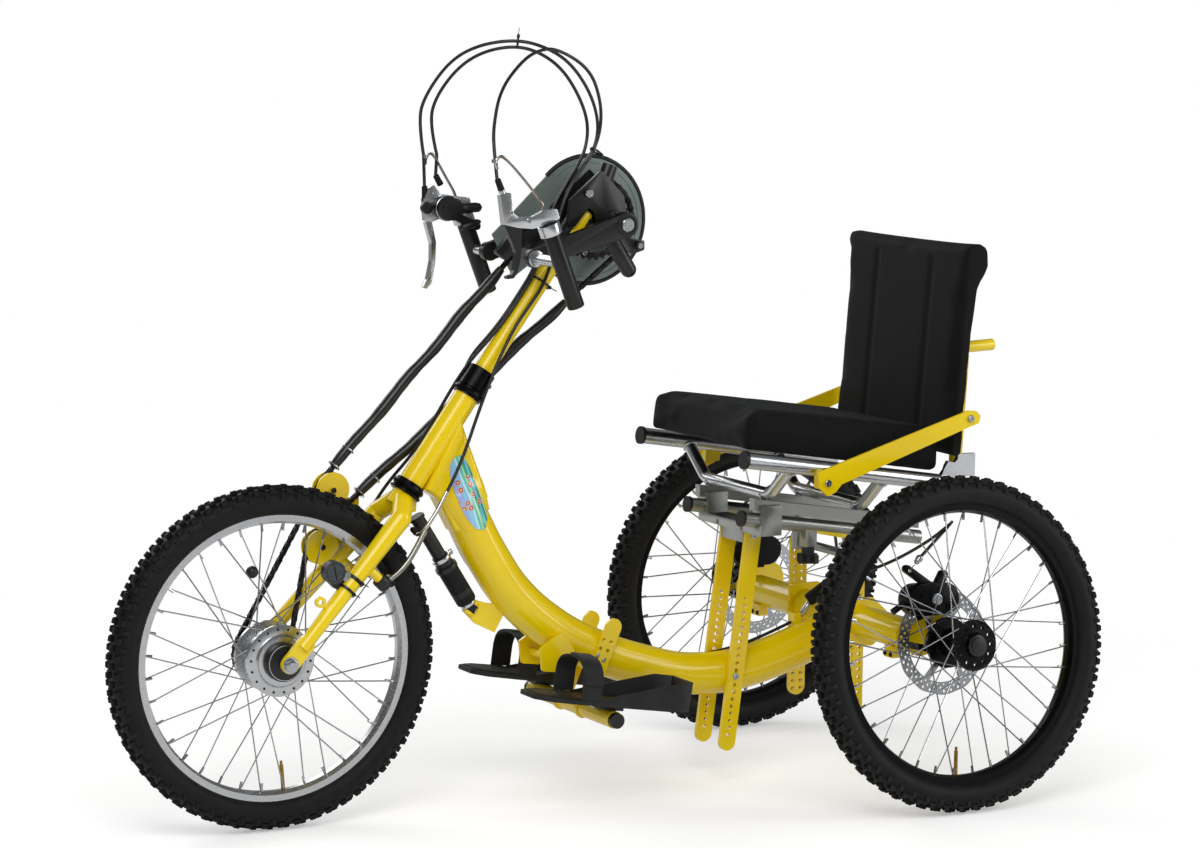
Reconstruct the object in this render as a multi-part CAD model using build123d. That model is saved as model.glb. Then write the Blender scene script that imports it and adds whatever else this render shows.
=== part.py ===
"""Three-wheel front-drive handbike, built in millimetres: +X forward, +Y left, +Z up, ground at Z = 0."""
import os
from math import asin, atan2, cos, degrees, hypot, pi, radians, sin

from build123d import *

os.makedirs("parts", exist_ok=True)

# Driving dimensions.
WHEEL_R = 252.0            # outside radius over the tread
WHEELBASE = 974.0
TRACK = 631.4              # between the rear wheels' middle planes at hub height
CAMBER = 6.1               # degrees, tops of the rear wheels lean in
TYRE_H = 42.0              # height of the tyre over the rim's flanges
RIM_R = WHEEL_R - TYRE_H
RIM_W = 26.0
TYRE_W = 49.0
TYRE_SIDES = 32            # flat facets round the casing
LUG_COUNT = 60
LUG_H, LUG_L, LUG_W = 6.0, 13.0, 22.0
SPOKE_COUNT = 36
SPOKE_R = 1.1
HEAD_ANGLE = 54.3          # degrees from the horizontal
HEAD_X, HEAD_Z = 272.0, 489.0      # lower headset ring on the steering axis
HEAD_LENGTH = 164.0
STEERER_R = 12.7
POST_R = 14.3
POST_TOP = 485.0           # along the steering axis from the lower ring
CRANK_X, CRANK_Z = -52.0, 869.0
CRANK_LENGTH = 158.0
CRANK_DROP = 17.0          # degrees, left and right arms point forward and down
ARM_LEFT_Y, ARM_RIGHT_Y = 56.0, -92.0
GRIP_Y = 143.0
GRIP_LENGTH = 130.0
GRIP_R = 12.5
CHAIN_Y = -42.0
CHAIN_PITCH = 12.7
RING_TEETH = 32
SPROCKET_TEETH = 21
TUBE_R = 32.5              # main tube
CROSS_X, CROSS_Z = -461.0, 250.0   # rear cross tube
CROSS_R = 24.5
SLEEVE_GAP = 93.7          # from the cross tube's end to the rear wheel's middle plane
SLEEVE_END_Y = TRACK / 2 - SLEEVE_GAP
CARRIER_REACH, CARRIER_PLATE = 24.0, 8.0     # what shows of the carrier's tube, and its plate
BAR_Y = 37.0               # bars beside the main tube
REAR_BAR_X, REAR_BAR_Y = -449.0, 86.0
SEAT_SLOPE = 0.15          # rise per unit length towards the front
BACKREST_W = 358.0
UPPER_RAIL_Y, UPPER_RAIL_R = BACKREST_W / 2 - 19, 12.5
LOWER_RAIL_Y, LOWER_RAIL_R = 82.0, 11.0
CUSHION_W = 2 * UPPER_RAIL_Y - 2
FOOT_Y = 105.0
RUN = 0.05                 # radial clearance of what turns

HALF = WHEELBASE / 2
TILT = radians(CAMBER)
AXIS = Vector(-cos(radians(HEAD_ANGLE)), 0, sin(radians(HEAD_ANGLE)))
NORMAL = Vector(AXIS.Z, 0, -AXIS.X)


def on_axis(along, ahead=0.0, y=0.0):
    """Point by its distance up the steering axis and its offset ahead of it."""
    return Vector(HEAD_X, y, HEAD_Z) + AXIS * along + NORMAL * ahead


def rod(a, b, r, r_end=None):
    """Solid round bar or cone between two points."""
    a, b = Vector(*a), Vector(*b)
    place = Plane(origin=a, z_dir=b - a)
    low = (Align.CENTER, Align.CENTER, Align.MIN)
    if r_end is None:
        return place * Cylinder(r, (b - a).length, align=low)
    return place * Cone(r, r_end, (b - a).length, align=low)


def tube(a, b, r, bore):
    """Hollow round bar."""
    a, b = Vector(*a), Vector(*b)
    step = (b - a).normalized()
    return rod(a, b, r) - rod(a - step, b + step, bore)


def across(x, z, y0, y1, r, bore=0.0):
    """Round bar along Y, hollow with a bore."""
    body = rod((x, y0, z), (x, y1, z), r)
    if bore:
        low, high = min(y0, y1) - 1, max(y0, y1) + 1
        body -= rod((x, low, z), (x, high, z), bore)
    return body


def plate(points, y0, y1, corner=0.0):
    """Flat plate with an outline in X, Z between two Y values."""
    face = Plane.XZ * make_face(Polyline(*points, close=True))
    if corner:
        face = fillet(face.vertices(), corner)
    low, high = min(y0, y1), max(y0, y1)
    return Pos(0, high, 0) * extrude(face, high - low, dir=(0, -1, 0))


def bends(points):
    """Tangent arcs where straight runs turn: start, middle, end and radius, as wide as the runs allow."""
    arcs = []
    for before, here, after in zip(points, points[1:], points[2:]):
        run_in, run_out = here - before, after - here
        half_turn = radians(run_in.get_angle(run_out)) / 2
        if half_turn < 0.001:
            continue
        reach = 0.45 * min(run_in.length, run_out.length)
        radius = reach * cos(half_turn) / sin(half_turn)
        inward = (run_out.normalized() - run_in.normalized()).normalized()
        arcs.append((here - run_in.normalized() * reach, here + inward * radius * (1 / cos(half_turn) - 1),
                     here + run_out.normalized() * reach, radius))
    return arcs


def hose(points, r, label=None):
    """Round bar along straight runs joined by arcs; a label prints the tightest bend."""
    spots = [Vector(*point) for point in points]
    arcs = bends(spots)
    edges, last = [], spots[0]
    for start, middle, end, _ in arcs:
        edges += [Line(last, start), ThreePointArc(start, middle, end)]
        last = end
    path = Wire(edges + [Line(last, spots[-1])])
    if label:
        print(f"{label}: tightest bend {min(arc[3] for arc in arcs):.0f} mm, bar {2 * r:.1f} mm")
    return sweep(Plane(origin=path @ 0, z_dir=path % 0) * Circle(r), path=path)


def bar(a, b, half_width, y0, y1):
    """Round-ended flat bar between two X, Z points."""
    dx, dz = b[0] - a[0], b[1] - a[1]
    length = hypot(dx, dz)
    face = SlotCenterToCenter(length, 2 * half_width)
    mid = ((a[0] + b[0]) / 2, (a[1] + b[1]) / 2)
    face = Plane.XZ * Pos(mid[0], mid[1]) * Rot(0, 0, degrees(atan2(dz, dx))) * face
    low, high = min(y0, y1), max(y0, y1)
    return Pos(0, high, 0) * extrude(face, high - low, dir=(0, -1, 0))


def revolve_y(profile):
    """Ring about the Y axis from (radius, y) points."""
    face = make_face(Polyline(*[(r, y, 0) for r, y in profile], close=True))
    return revolve(face, Axis.Y, 360)


def box(x0, x1, y0, y1, z0, z1):
    """Box by its limits."""
    return Pos((x0 + x1) / 2, (y0 + y1) / 2, (z0 + z1) / 2) * Box(x1 - x0, abs(y1 - y0), z1 - z0)


def mirror_y(shape):
    return mirror(shape, Plane.XZ)


def save(shapes, name):
    """Write one named node of one or more solids."""
    shapes = shapes if isinstance(shapes, (list, tuple)) else [shapes]
    solids = [solid for shape in shapes for solid in shape.solids()]
    whole = solids[0] if len(solids) == 1 else Compound(children=list(solids))
    whole.label = name
    export_step(whole, f"parts/{name}.step")


# Wheels, built about the Y axis with +Y outboard, then placed.
def ring_band(r0, y0, r1, y1):
    """Faceted band between two flats-to-centre radii at two Y values."""
    grow = 1 / cos(pi / TYRE_SIDES)
    ends = [Plane(origin=(0, y, 0), x_dir=(1, 0, 0), z_dir=(0, 1, 0)) * RegularPolygon(r * grow, TYRE_SIDES)
            for y, r in sorted(((y0, r0), (y1, r1)))]
    return loft(ends, ruled=True)


def tyre():
    """Casing with square shoulders and a ring of cross lugs."""
    casing_r, shoulder_r, side, bead = WHEEL_R - LUG_H, WHEEL_R - 20, TYRE_W / 2, 10.9
    body = ring_band(casing_r, -11, casing_r, 11)
    for s in (-1, 1):
        body += ring_band(casing_r, s * 11, shoulder_r, s * side)
    for index in range(LUG_COUNT):
        lug = Pos(casing_r, 0, 0) * Box(2 * LUG_H, LUG_W, LUG_L)
        body += Rot(0, 90 + 360 / LUG_COUNT * index, 0) * lug
    for s in (-1, 1):
        body -= ring_band(RIM_R + 0.3, s * bead, RIM_R + 15, s * (side + 1))
    return body - ring_band(RIM_R - 6.8, -bead, RIM_R - 6.8, bead)


def rim():
    half = [(RIM_R - 14, 5.0), (RIM_R - 10, RIM_W / 2), (RIM_R, RIM_W / 2),
            (RIM_R, RIM_W / 2 - 2.1), (RIM_R - 6.8, RIM_W / 2 - 2.1)]
    return revolve_y([(r, -y) for r, y in half] + [(r, y) for r, y in reversed(half)])


def spokes(hub_r, flanges, swing):
    """Crossed spokes from two flanges to the rim."""
    rods = []
    for index in range(SPOKE_COUNT):
        side = index % 2
        lead = 1 if (index // 2) % 2 else -1
        outer = radians(360 / SPOKE_COUNT * index + 5)
        inner = outer + lead * radians(swing)
        rim_r = RIM_R - 13.9
        tip = Vector(rim_r * cos(outer), (2.5, -2.5)[side], rim_r * sin(outer))
        root = Vector(hub_r * cos(inner), flanges[side] + lead * 1.6, hub_r * sin(inner))
        line = tip - root
        place = Plane(origin=root - line.normalized() * 3, z_dir=line)
        rods.append(extrude(place * RegularPolygon(SPOKE_R, 6), line.length + 5))
    hub = rod((0, -80, 0), (0, 80, 0), hub_r)
    bed = revolve_y([(RIM_R - 14, -5), (RIM_R - 10, -RIM_W / 2), (RIM_R + 9, -20),
                     (RIM_R + 9, 20), (RIM_R - 10, RIM_W / 2), (RIM_R - 14, 5)])
    return [(one - hub - bed).solids()[0] for one in rods]


front_place = Pos(HALF, 0, WHEEL_R)
REAR_HUB_Z = (WHEEL_R - 25) * cos(TILT) + 25
left_place = Pos(-HALF, TRACK / 2, REAR_HUB_Z) * Rot(CAMBER, 0, 0)
right_place = Pos(-HALF, -TRACK / 2, REAR_HUB_Z) * Rot(-CAMBER, 0, 0)
right_turn = right_place * Rot(0, 0, 180)


def toothed(pitch_r, teeth, bore):
    """Chain wheel whose tooth tips stay inside the chain."""
    points = []
    for index in range(teeth):
        for part, r in ((0, pitch_r - 9), (0.3, pitch_r - 9), (0.5, pitch_r - 4.8), (0.7, pitch_r - 4.8)):
            a = 2 * pi * (index + part) / teeth
            points.append((r * cos(a), r * sin(a)))
    return plate(points, CHAIN_Y - 1.2, CHAIN_Y + 1.2) - across(0, 0, CHAIN_Y - 2, CHAIN_Y + 2, bore)


# Front wheel.
FRONT_FLANGE_R = 51.0
front_flanges = (24.0, -19.0)
AXLE_R = 5.0
front_hub = revolve_y([
    (AXLE_R + RUN, 36), (28, 36), (29, 30), (36, 29), (37, 27), (FRONT_FLANGE_R, 27),
    (FRONT_FLANGE_R, 21), (37, 20), (36, -14), (FRONT_FLANGE_R, -16), (FRONT_FLANGE_R, -22),
    (37, -24), (30, -32), (28, -38), (AXLE_R + RUN, -38)])
one_tyre = tyre()
save(front_place * one_tyre, "front_tyre")
save(front_place * rim(), "front_rim")
save([front_place * one for one in spokes(FRONT_FLANGE_R, front_flanges, 38)], "front_spokes")
sprocket_r = CHAIN_PITCH / 2 / sin(pi / SPROCKET_TEETH)
sprocket = toothed(sprocket_r, SPROCKET_TEETH, AXLE_R + 1)
sprocket += across(0, 0, CHAIN_Y - 6, -38, 20, AXLE_R + 1)
save(front_place * sprocket, "sprocket")
cap = across(0, 0, 36, 50, 26, AXLE_R + 1)
save(front_place * (front_hub + cap), "front_hub")

# Rear wheels.
REAR_FLANGE_R = 38.0
AXLE_REAR_R = 8.0
rear_hub = revolve_y([
    (AXLE_REAR_R + RUN, 50), (16, 50), (18, 44), (REAR_FLANGE_R, 43), (REAR_FLANGE_R, 38),
    (20, 37), (18, 0), (20, -26), (REAR_FLANGE_R, -27), (REAR_FLANGE_R, -32), (24, -33),
    (22, -43), (AXLE_REAR_R + RUN, -43)])
rotor = across(0, 0, -45, -43, 80, 60) + across(0, 0, -45, -43, 26, AXLE_REAR_R + 1)
for arm in range(6):
    spoke_arm = box(22, 62, -45, -43, -4, 4)
    rotor += Rot(0, arm * 60, 0) * spoke_arm
for side, place in (("left", left_place), ("right", right_turn)):
    save(place * one_tyre, f"tyre_{side}")
    save(place * rim(), f"rim_{side}")
    save([place * one for one in spokes(REAR_FLANGE_R, (40.5, -29.5), 60)], f"spokes_{side}")
    save(place * rear_hub, f"hub_{side}")
    save(place * rotor, f"rotor_{side}")

# Main frame: head tube, curved tube with gusset, rear sleeve, plates and tabs.
tube_line = [(196, 474), (173, 430), (153, 392), (114, 331), (73, 289), (15, 247), (-67, 208),
             (-183, 173), (-262, 169), (-320, 178), (-372, 192), (-441, 215), (-478, 229)]
main_route = [(x, 0, z) for x, z in tube_line]
main_tube = hose(main_route, TUBE_R)
head_bore = rod(on_axis(-20), on_axis(HEAD_LENGTH + 20), STEERER_R + 3.2)
gusset = plate([(252, 484), (196, 588), (180, 545), (150, 470), (160, 400), (205, 420), (232, 470)],
               -20, 20)
gusset = fillet(gusset.edges().filter_by(GeomType.LINE).filter_by(Axis.Y, reverse=True), 8)
main_frame = main_tube + rod(on_axis(6), on_axis(HEAD_LENGTH - 6), 19) + gusset
STRUT_LOW = Vector(170, 0, 302)
web = [(8, 11), (8, 6.2), (-10.5, 6.2), (-10.5, -6.2), (8, -6.2), (8, -11), (-20, -16), (-55, -10),
       (-50, 36), (-20, 20)]
main_frame += plate([tuple(STRUT_LOW + NORMAL * n + AXIS * up)[::2] for n, up in web], -3, 3)
for up in (6.2, -11):
    main_frame += rod(STRUT_LOW + AXIS * up, STRUT_LOW + AXIS * (up + 4.8), 9)
main_frame += rod(STRUT_LOW - AXIS * 11, STRUT_LOW + AXIS * 11, 4)
cross_tube = across(CROSS_X, CROSS_Z, -SLEEVE_END_Y, SLEEVE_END_Y, CROSS_R)
cable_stop = box(-410, -398, -28, -10, 205, 250)
main_frame += cross_tube + cable_stop
main_frame -= hose(main_route, TUBE_R - 2.5)
main_frame -= across(CROSS_X, CROSS_Z, -SLEEVE_END_Y - 1, SLEEVE_END_Y + 1, CROSS_R - 3)
main_frame -= head_bore
for side in (-1, 1):
    web = plate([(-484, 284), (-432, 284), (-428, 240), (-436, 212), (-484, 208), (-506, 224), (-511, 260)],
                side * (REAR_BAR_Y - 9), side * (REAR_BAR_Y - 4), 6)
    main_frame += web - across(CROSS_X, CROSS_Z, -300, 300, CROSS_R - 1)
    ear_y = side * (SLEEVE_END_Y - 24)
    ear = box(CROSS_X + 6, CROSS_X + 22, ear_y - 11, ear_y + 11,
              CROSS_Z - CROSS_R - 12, CROSS_Z - CROSS_R + 6)
    main_frame += ear - across(CROSS_X, CROSS_Z, -300, 300, CROSS_R - 1)
save(main_frame, "main_frame")

lower_cup = tube(on_axis(-6), on_axis(6), 22, STEERER_R + RUN)
upper_cup = tube(on_axis(HEAD_LENGTH - 6), on_axis(HEAD_LENGTH + 6), 22, STEERER_R + RUN)
save([lower_cup, upper_cup], "headset_cups")

# Axle carriers: a clamped tube, a plate and the stub axle of each rear wheel.
def carrier(side):
    inner, outer = SLEEVE_END_Y - 60, SLEEVE_END_Y + CARRIER_REACH
    clamp_tube = across(CROSS_X, CROSS_Z, side * inner, side * outer, CROSS_R - 3)
    mount_plate = bar((CROSS_X, CROSS_Z), (-HALF - 6, REAR_HUB_Z + 12), 27,
                      side * outer, side * (outer + CARRIER_PLATE))
    centre = Vector(-HALF, side * TRACK / 2, REAR_HUB_Z)
    out = Vector(0, side * cos(TILT), sin(TILT))
    axle = rod(centre - out * 68, centre + out * 52, AXLE_REAR_R)
    boss = rod(centre - out * 66, centre - out * 45.4, 14)
    return clamp_tube + mount_plate + axle + boss


carriers = [carrier(1), carrier(-1)]
save(carriers, "axle_carriers")

# Disc calipers over the rotors, with the cable arm, the adjuster and a bracket on the stub axle's boss.
hood = bar((-2, 66), (38, 66), 24, -66, -33) - across(0, 0, -48, -40, 84)
caliper = hood + bar((12, 84), (53, 113), 6, -58, -50) + bar((0, 80), (-12, 100), 7, -60, -50)
caliper += rod((58, -54, 62), (80, -54, 50), 5) + box(4, 34, -66, -60, 34, 60)
caliper = left_place * caliper - carriers[0]
save([caliper, mirror_y(caliper)], "brake_calipers")

# Seat support bars, drilled for height adjustment.
def drilled(shape, start, end, count, y, r=3.3):
    """Row of holes along Y between two X, Z points."""
    for index in range(count):
        x = start[0] + (end[0] - start[0]) * index / (count - 1)
        z = start[1] + (end[1] - start[1]) * index / (count - 1)
        shape -= across(x, z, y - 12, y + 12, r)
    return shape


front_bars, rear_bars = [], []
for side in (1, -1):
    front = bar((-252, 68), (-292, 388), 13.5, side * (BAR_Y - 4), side * (BAR_Y + 3))
    front_bars.append(drilled(front, (-253, 79), (-279.3, 289.4), 20, side * BAR_Y))
    rear = bar((REAR_BAR_X, 118), (REAR_BAR_X, 349), 14.5, side * (REAR_BAR_Y - 4), side * (REAR_BAR_Y + 3))
    rear -= across(CROSS_X, CROSS_Z, -300, 300, CROSS_R + 0.05)
    for lead in (-7, 7):
        rear = drilled(rear, (REAR_BAR_X + lead, 114), (REAR_BAR_X + lead, 210), 9, side * REAR_BAR_Y)
        rear = drilled(rear, (REAR_BAR_X + lead, 290), (REAR_BAR_X + lead, 336), 5, side * REAR_BAR_Y)
    rear_bars.append(rear)
save(front_bars, "front_bars")
save(rear_bars, "rear_bars")


# Seat rails and their subframe.
def rail_z(x, x0, z0):
    return z0 + SEAT_SLOPE * (x - x0)


def seat_rod(x0, x1, y, at_x, at_z, r, bore=0.0):
    a, b = (x0, y, rail_z(x0, at_x, at_z)), (x1, y, rail_z(x1, at_x, at_z))
    return tube(a, b, r, bore) if bore else rod(a, b, r)


lower = [seat_rod(-565, -247, s * LOWER_RAIL_Y, -243, 422, LOWER_RAIL_R, LOWER_RAIL_R - 1.6)
         for s in (-1, 1)]
upper_rails, caps, grey = None, [], []
for s in (-1, 1):
    rail = seat_rod(-560, -205, s * UPPER_RAIL_Y, -201, 523, UPPER_RAIL_R)
    upper_rails = rail if upper_rails is None else upper_rails + rail
    caps.append(seat_rod(-205, -200, s * UPPER_RAIL_Y, -201, 523, UPPER_RAIL_R + 1.5))
    caps.append(seat_rod(-247, -242, s * LOWER_RAIL_Y, -243, 422, LOWER_RAIL_R + 1.5))
    slant = plate([(-262, rail_z(-262, -259, 434)), (-262, rail_z(-262, -259, 452)),
                   (-560, rail_z(-560, -259, 452)), (-560, rail_z(-560, -259, 434))],
                  s * (LOWER_RAIL_Y - 6), s * (LOWER_RAIL_Y + 8))
    grey.append(slant)
for x, floor in ((-286, 458.2), (-450, 433.6)):
    top = rail_z(x, -201, 523)
    line = Polyline((x, -UPPER_RAIL_Y, top), (x, -98, floor), (x, 98, floor), (x, UPPER_RAIL_Y, top))
    line = fillet(line.vertices().sort_by(Axis.Y)[1:3], 30)
    start = Plane(origin=line @ 0, z_dir=line % 0)
    upper_rails += sweep(start * Circle(9.5), path=line)
blocks = box(-308, -272, -74, 74, 394, 408) + box(-304, -276, 4 - BAR_Y, BAR_Y - 4, 376, 396)
for s in (-1, 1):
    y = s * LOWER_RAIL_Y
    blocks += box(-308, -272, y - 14, y + 14, 394, 440)
blocks = blocks - lower[0] - lower[1] - grey[0] - grey[1]
for s in (-1, 1):
    hole = seat_rod(-330, -250, s * LOWER_RAIL_Y, -243, 422, LOWER_RAIL_R)
    blocks -= hole
    blocks -= box(-330, -250, s * (BAR_Y - 4), s * (BAR_Y + 3), 370, 402.6)
rear_blocks = across(REAR_BAR_X, 350, -REAR_BAR_Y + 4, REAR_BAR_Y - 4, 7)
for s in (-1, 1):
    y = s * (LOWER_RAIL_Y - 8)
    post = plate([(-464, 340), (-434, 340), (-436, 396), (-462, 396)], y - 7, y + 7, 3)
    hole = seat_rod(-500, -420, s * LOWER_RAIL_Y, -243, 422, LOWER_RAIL_R)
    rear_blocks += post - hole
knob_x = -364
knob_rail = rail_z(knob_x, -243, 422)
knob_block = box(knob_x - 10, knob_x + 10, LOWER_RAIL_Y - 9, LOWER_RAIL_Y + 9, 372, knob_rail)
knob_block -= seat_rod(-400, -330, LOWER_RAIL_Y, -243, 422, LOWER_RAIL_R)
save([blocks, rear_blocks, knob_block], "seat_carriers")
save(lower + grey, "seat_slide")
knob = rod((knob_x, LOWER_RAIL_Y, 346), (knob_x, LOWER_RAIL_Y, 372), 10)
for turn in range(0, 360, 90):
    knob += Pos(knob_x, LOWER_RAIL_Y, 353) * Rot(0, 0, turn + 20) * Pos(11, 0, 0) * Box(14, 9, 13)
save(knob, "slide_knob")

# Seat cushion and backrest.
bottom = rail_z(0, -201, 523) + UPPER_RAIL_R * 1.011
cushion = plate([(-206, bottom - 0.15 * 206), (-214, bottom - 0.15 * 214 + 60),
                 (-400, bottom - 0.15 * 400 + 62), (-561, bottom - 0.15 * 561 + 62),
                 (-561, bottom - 0.15 * 561)], -CUSHION_W / 2, CUSHION_W / 2)
cushion = fillet(cushion.edges(), 9)
save(cushion, "seat_cushion")
pad = plate([(-562, 503), (-566, 545), (-590, 832), (-596, 842), (-615, 843), (-628, 834),
             (-629, 806), (-608, 768), (-597, 700), (-580, 505), (-574, 500)], -BACKREST_W / 2, BACKREST_W / 2)
pad = fillet(pad.edges().filter_by(Axis.Y), 4)
save(pad, "backrest_pad")

# Backrest frame: uprights behind the pad with a push handle, foot plates on the rails.
back = None
for s in (-1, 1):
    upright = rod((-604, s * 120, 486), (-614, s * 120, 660), 10)
    stub = rod((-606, s * 120, 672), (-668, s * 120, 675), 9)
    side_rod = upright + stub
    back = side_rod if back is None else back + side_rod
back += across(-606, 520, -120, 120, 9) + across(-611, 650, -120, 120, 9)
for s in (-1, 1):
    back += rod((-606, s * 120, 670), (-614, s * 120, 655), 10)
back -= pad
save(back, "backrest_frame")
hooks = None
for s in (-1, 1):
    hook = plate([(-548, 476), (-556, 492), (-570, 513), (-612, 513), (-612, 478)],
                 s * (UPPER_RAIL_Y - 4), s * (UPPER_RAIL_Y + 4))
    hook += across(-606, 500, s * 112, s * UPPER_RAIL_Y, 6)
    hooks = hook if hooks is None else hooks + hook
hooks = hooks - pad - cushion - upper_rails - back
save([upper_rails, hooks], "seat_frame")
seat_arms = []
for s in (1, -1):
    arm = plate([(-316, 501), (-320, 476), (-334, 464), (-348, 470), (-358, 481), (-586, 557), (-603, 562),
                 (-606, 573), (-598, 581), (-584, 582)], s * (BACKREST_W / 2 + 1), s * (BACKREST_W / 2 + 6), 3)
    arm += across(-586, 570, s * (BACKREST_W / 2), s * (BACKREST_W / 2 + 2), 8)
    tab = plate([(-322, 474), (-348, 474), (-350, 500), (-322, 505)],
                s * (UPPER_RAIL_Y + 4), s * (BACKREST_W / 2 + 1), 3) - upper_rails
    seat_arms.append(arm + tab)
save(seat_arms, "seat_arms")

# Footrest: perforated bars from the main tube, a cross tube and two foot plates.
foot = None
for s in (-1, 1):
    one = bar((-52, 262), (-2, 140), 13, s * (BAR_Y - 4.4), s * (BAR_Y + 1))
    for lead in (-6, 6):
        one = drilled(one, (-41 + lead, 242 + lead * 0.4), (-25 + lead, 203 + lead * 0.4), 4, s * BAR_Y, 3)
    foot = one if foot is None else foot + one
foot += across(-4, 142, -132, 132, 13, 10.5)
front_tabs = plate([(72, 238), (34, 262), (14, 232), (38, 200), (68, 204)], -BAR_Y, -BAR_Y + 5, 4)
front_tabs += mirror_y(front_tabs)
front_tabs += across(52, 222, -BAR_Y + 1, BAR_Y - 1, 6)
front_tabs = front_tabs - main_tube
save([foot, front_tabs], "footrest_frame")
plugs = across(-4, 142, 128, 140, 10.5) + across(-4, 142, 132, 142, 11.5)
save(caps + [plugs, mirror_y(plugs)], "end_caps")
FOOT_SLOPE = 9.0
shoes, straps = [], []
for s in (1, -1):
    place = Pos(-4, s * FOOT_Y, 163) * Rot(0, -FOOT_SLOPE, 0)
    outline = make_face(Polyline((-126, -30), (-126, 30), (-96, 44), (60, 46), (112, 40), (134, 22),
                                 (134, -22), (112, -40), (60, -46), (-96, -44), close=True))
    base = extrude(outline, 7, dir=(0, 0, 1))
    wall = extrude(outline, 46, dir=(0, 0, 1)) - extrude(offset(outline, -4), 50, dir=(0, 0, 1))
    keep = Plane.XZ * make_face(Polyline((-140, -5), (-140, 46), (-100, 44), (40, 8), (40, -5), close=True))
    wall = wall & Pos(0, 70, 0) * extrude(keep, 140, dir=(0, -1, 0))
    shoe = base + wall + box(-20, 20, -20, 20, -8, 1)
    shoe = place * shoe
    shoe -= across(-4, 142, -200, 200, 13)
    shoes.append(shoe)
    strap_outer = make_face(Polyline((-46, 7), (-46, 45), (-29, 66), (29, 66), (46, 45), (46, 7),
                                     (44, 7), (44, 44), (28, 64), (-28, 64), (-44, 44), (-44, 7), close=True))
    strap = Pos(34, 0, 0) * extrude(Plane.YZ * strap_outer, 34)
    straps.append(place * strap - shoe - foot - front_tabs)
save(shoes, "foot_plates")
save(straps, "foot_straps")

# Fork: steerer, crown, two blades with brake bosses, dropouts and a lamp eye.
KNEE, HEEL = Vector(303, 41, 449), Vector(468, 64, 274)
BLADE_DIR = Vector(HEEL.X - KNEE.X, 0, HEEL.Z - KNEE.Z).normalized()
BLADE_OUT = Vector(-BLADE_DIR.Z, 0, BLADE_DIR.X)
BLADE_SPREAD = (HEEL.Y - KNEE.Y) / hypot(HEEL.X - KNEE.X, HEEL.Z - KNEE.Z)


def on_blade(along, behind=0.0, y=0.0):
    """Point by its distance down the fork blade from the knee and its offset behind it."""
    return Vector(KNEE.X, y, KNEE.Z) + BLADE_DIR * along - BLADE_OUT * behind


fork = rod(on_axis(-26), on_axis(205), STEERER_R)
fork += rod(on_axis(-34), on_axis(-6), 18)
for s in (-1, 1):
    knee, heel = Vector(KNEE.X, s * KNEE.Y, KNEE.Z), Vector(HEEL.X, s * HEEL.Y, HEEL.Z)
    shoulder = rod(on_axis(-20, 0, s * 6), knee, 15)
    blade = rod(knee, heel, 15, 10) + Pos(*knee) * Sphere(15)
    fork += shoulder + blade
    fork += bar((462, 280), (HALF, WHEEL_R), 13, s * 60, s * 67)
    boss_y = s * (KNEE.Y + BLADE_SPREAD * 88)
    fork += rod(on_blade(88, 0, boss_y), on_blade(88, 30, boss_y), 7)
eye_y = KNEE.Y + BLADE_SPREAD * 172
fork += across(437, 338, eye_y - 3, eye_y + 3, 8, 4)
fork += rod(on_blade(172, -8, eye_y), on_blade(172, -14, eye_y), 4)
fork -= across(HALF, WHEEL_R, -80, 80, AXLE_R + 0.01)
lug_points = [(-8, -10), (-22, -12), (-30, -24), (-22, -33), (-8, -30)]
lug = plate([tuple(on_axis(up, ahead))[::2] for ahead, up in lug_points], -4, 4)
fork -= rod(on_axis(-6), on_axis(20), 40)
fork += rod(on_axis(-26), on_axis(205), STEERER_R)
fork += lug
save(fork, "fork")
post = tube(on_axis(HEAD_LENGTH + 6), on_axis(POST_TOP), POST_R, STEERER_R)
save(post, "steering_post")
collar = tube(on_axis(HEAD_LENGTH + 7), on_axis(HEAD_LENGTH + 40), 20, POST_R)
save(collar, "post_collar")
axle = across(HALF, WHEEL_R, -76, 76, AXLE_R)
nuts = across(HALF, WHEEL_R, 67, 74, 9) + across(HALF, WHEEL_R, -74, -67, 9)
shift_box = across(HALF, WHEEL_R, -92, -76, 11) + box(HALF - 16, HALF, -89, -79, WHEEL_R - 6, WHEEL_R + 6)
save(axle + nuts + shift_box, "front_axle")

# Crank bracket: plates from the post to the crank shell.
shell = across(CRANK_X, CRANK_Z, -28, 28, 20, 10 + RUN)
bracket = shell
bracket += rod(on_axis(432), on_axis(POST_TOP - 3), POST_R + 6)
for s in (-1, 1):
    bracket += plate([(-30, 948), (-68, 910), (-74, 878), (-64, 850), (-30, 852), (26, 868), (22, 905)],
                     s * 16, s * 22, 3)
bracket -= rod(on_axis(420), on_axis(POST_TOP), POST_R)
bracket -= across(CRANK_X, CRANK_Z, -60, 60, 10 + RUN)
bracket += rod((-33, 8, 905), (-50, 8, 955), 12.5) + across(-33, 905, -18, 18, 11)
bracket += rod((-48, 14, 850), (-79, 18, 799), 12) + Pos(-79, 18, 799) * Sphere(12)
bracket += plate([(-60, 850), (-104, 842), (-104, 828), (-84, 822), (-56, 838)], 16, 22, 3)
for x, z in ((-7, 914), (-94, 835)):
    bracket += across(x, z, 20, 27, 7)
bracket -= across(CRANK_X, CRANK_Z, -60, 60, 10 + RUN) + rod(on_axis(420), on_axis(POST_TOP), POST_R)

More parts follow.
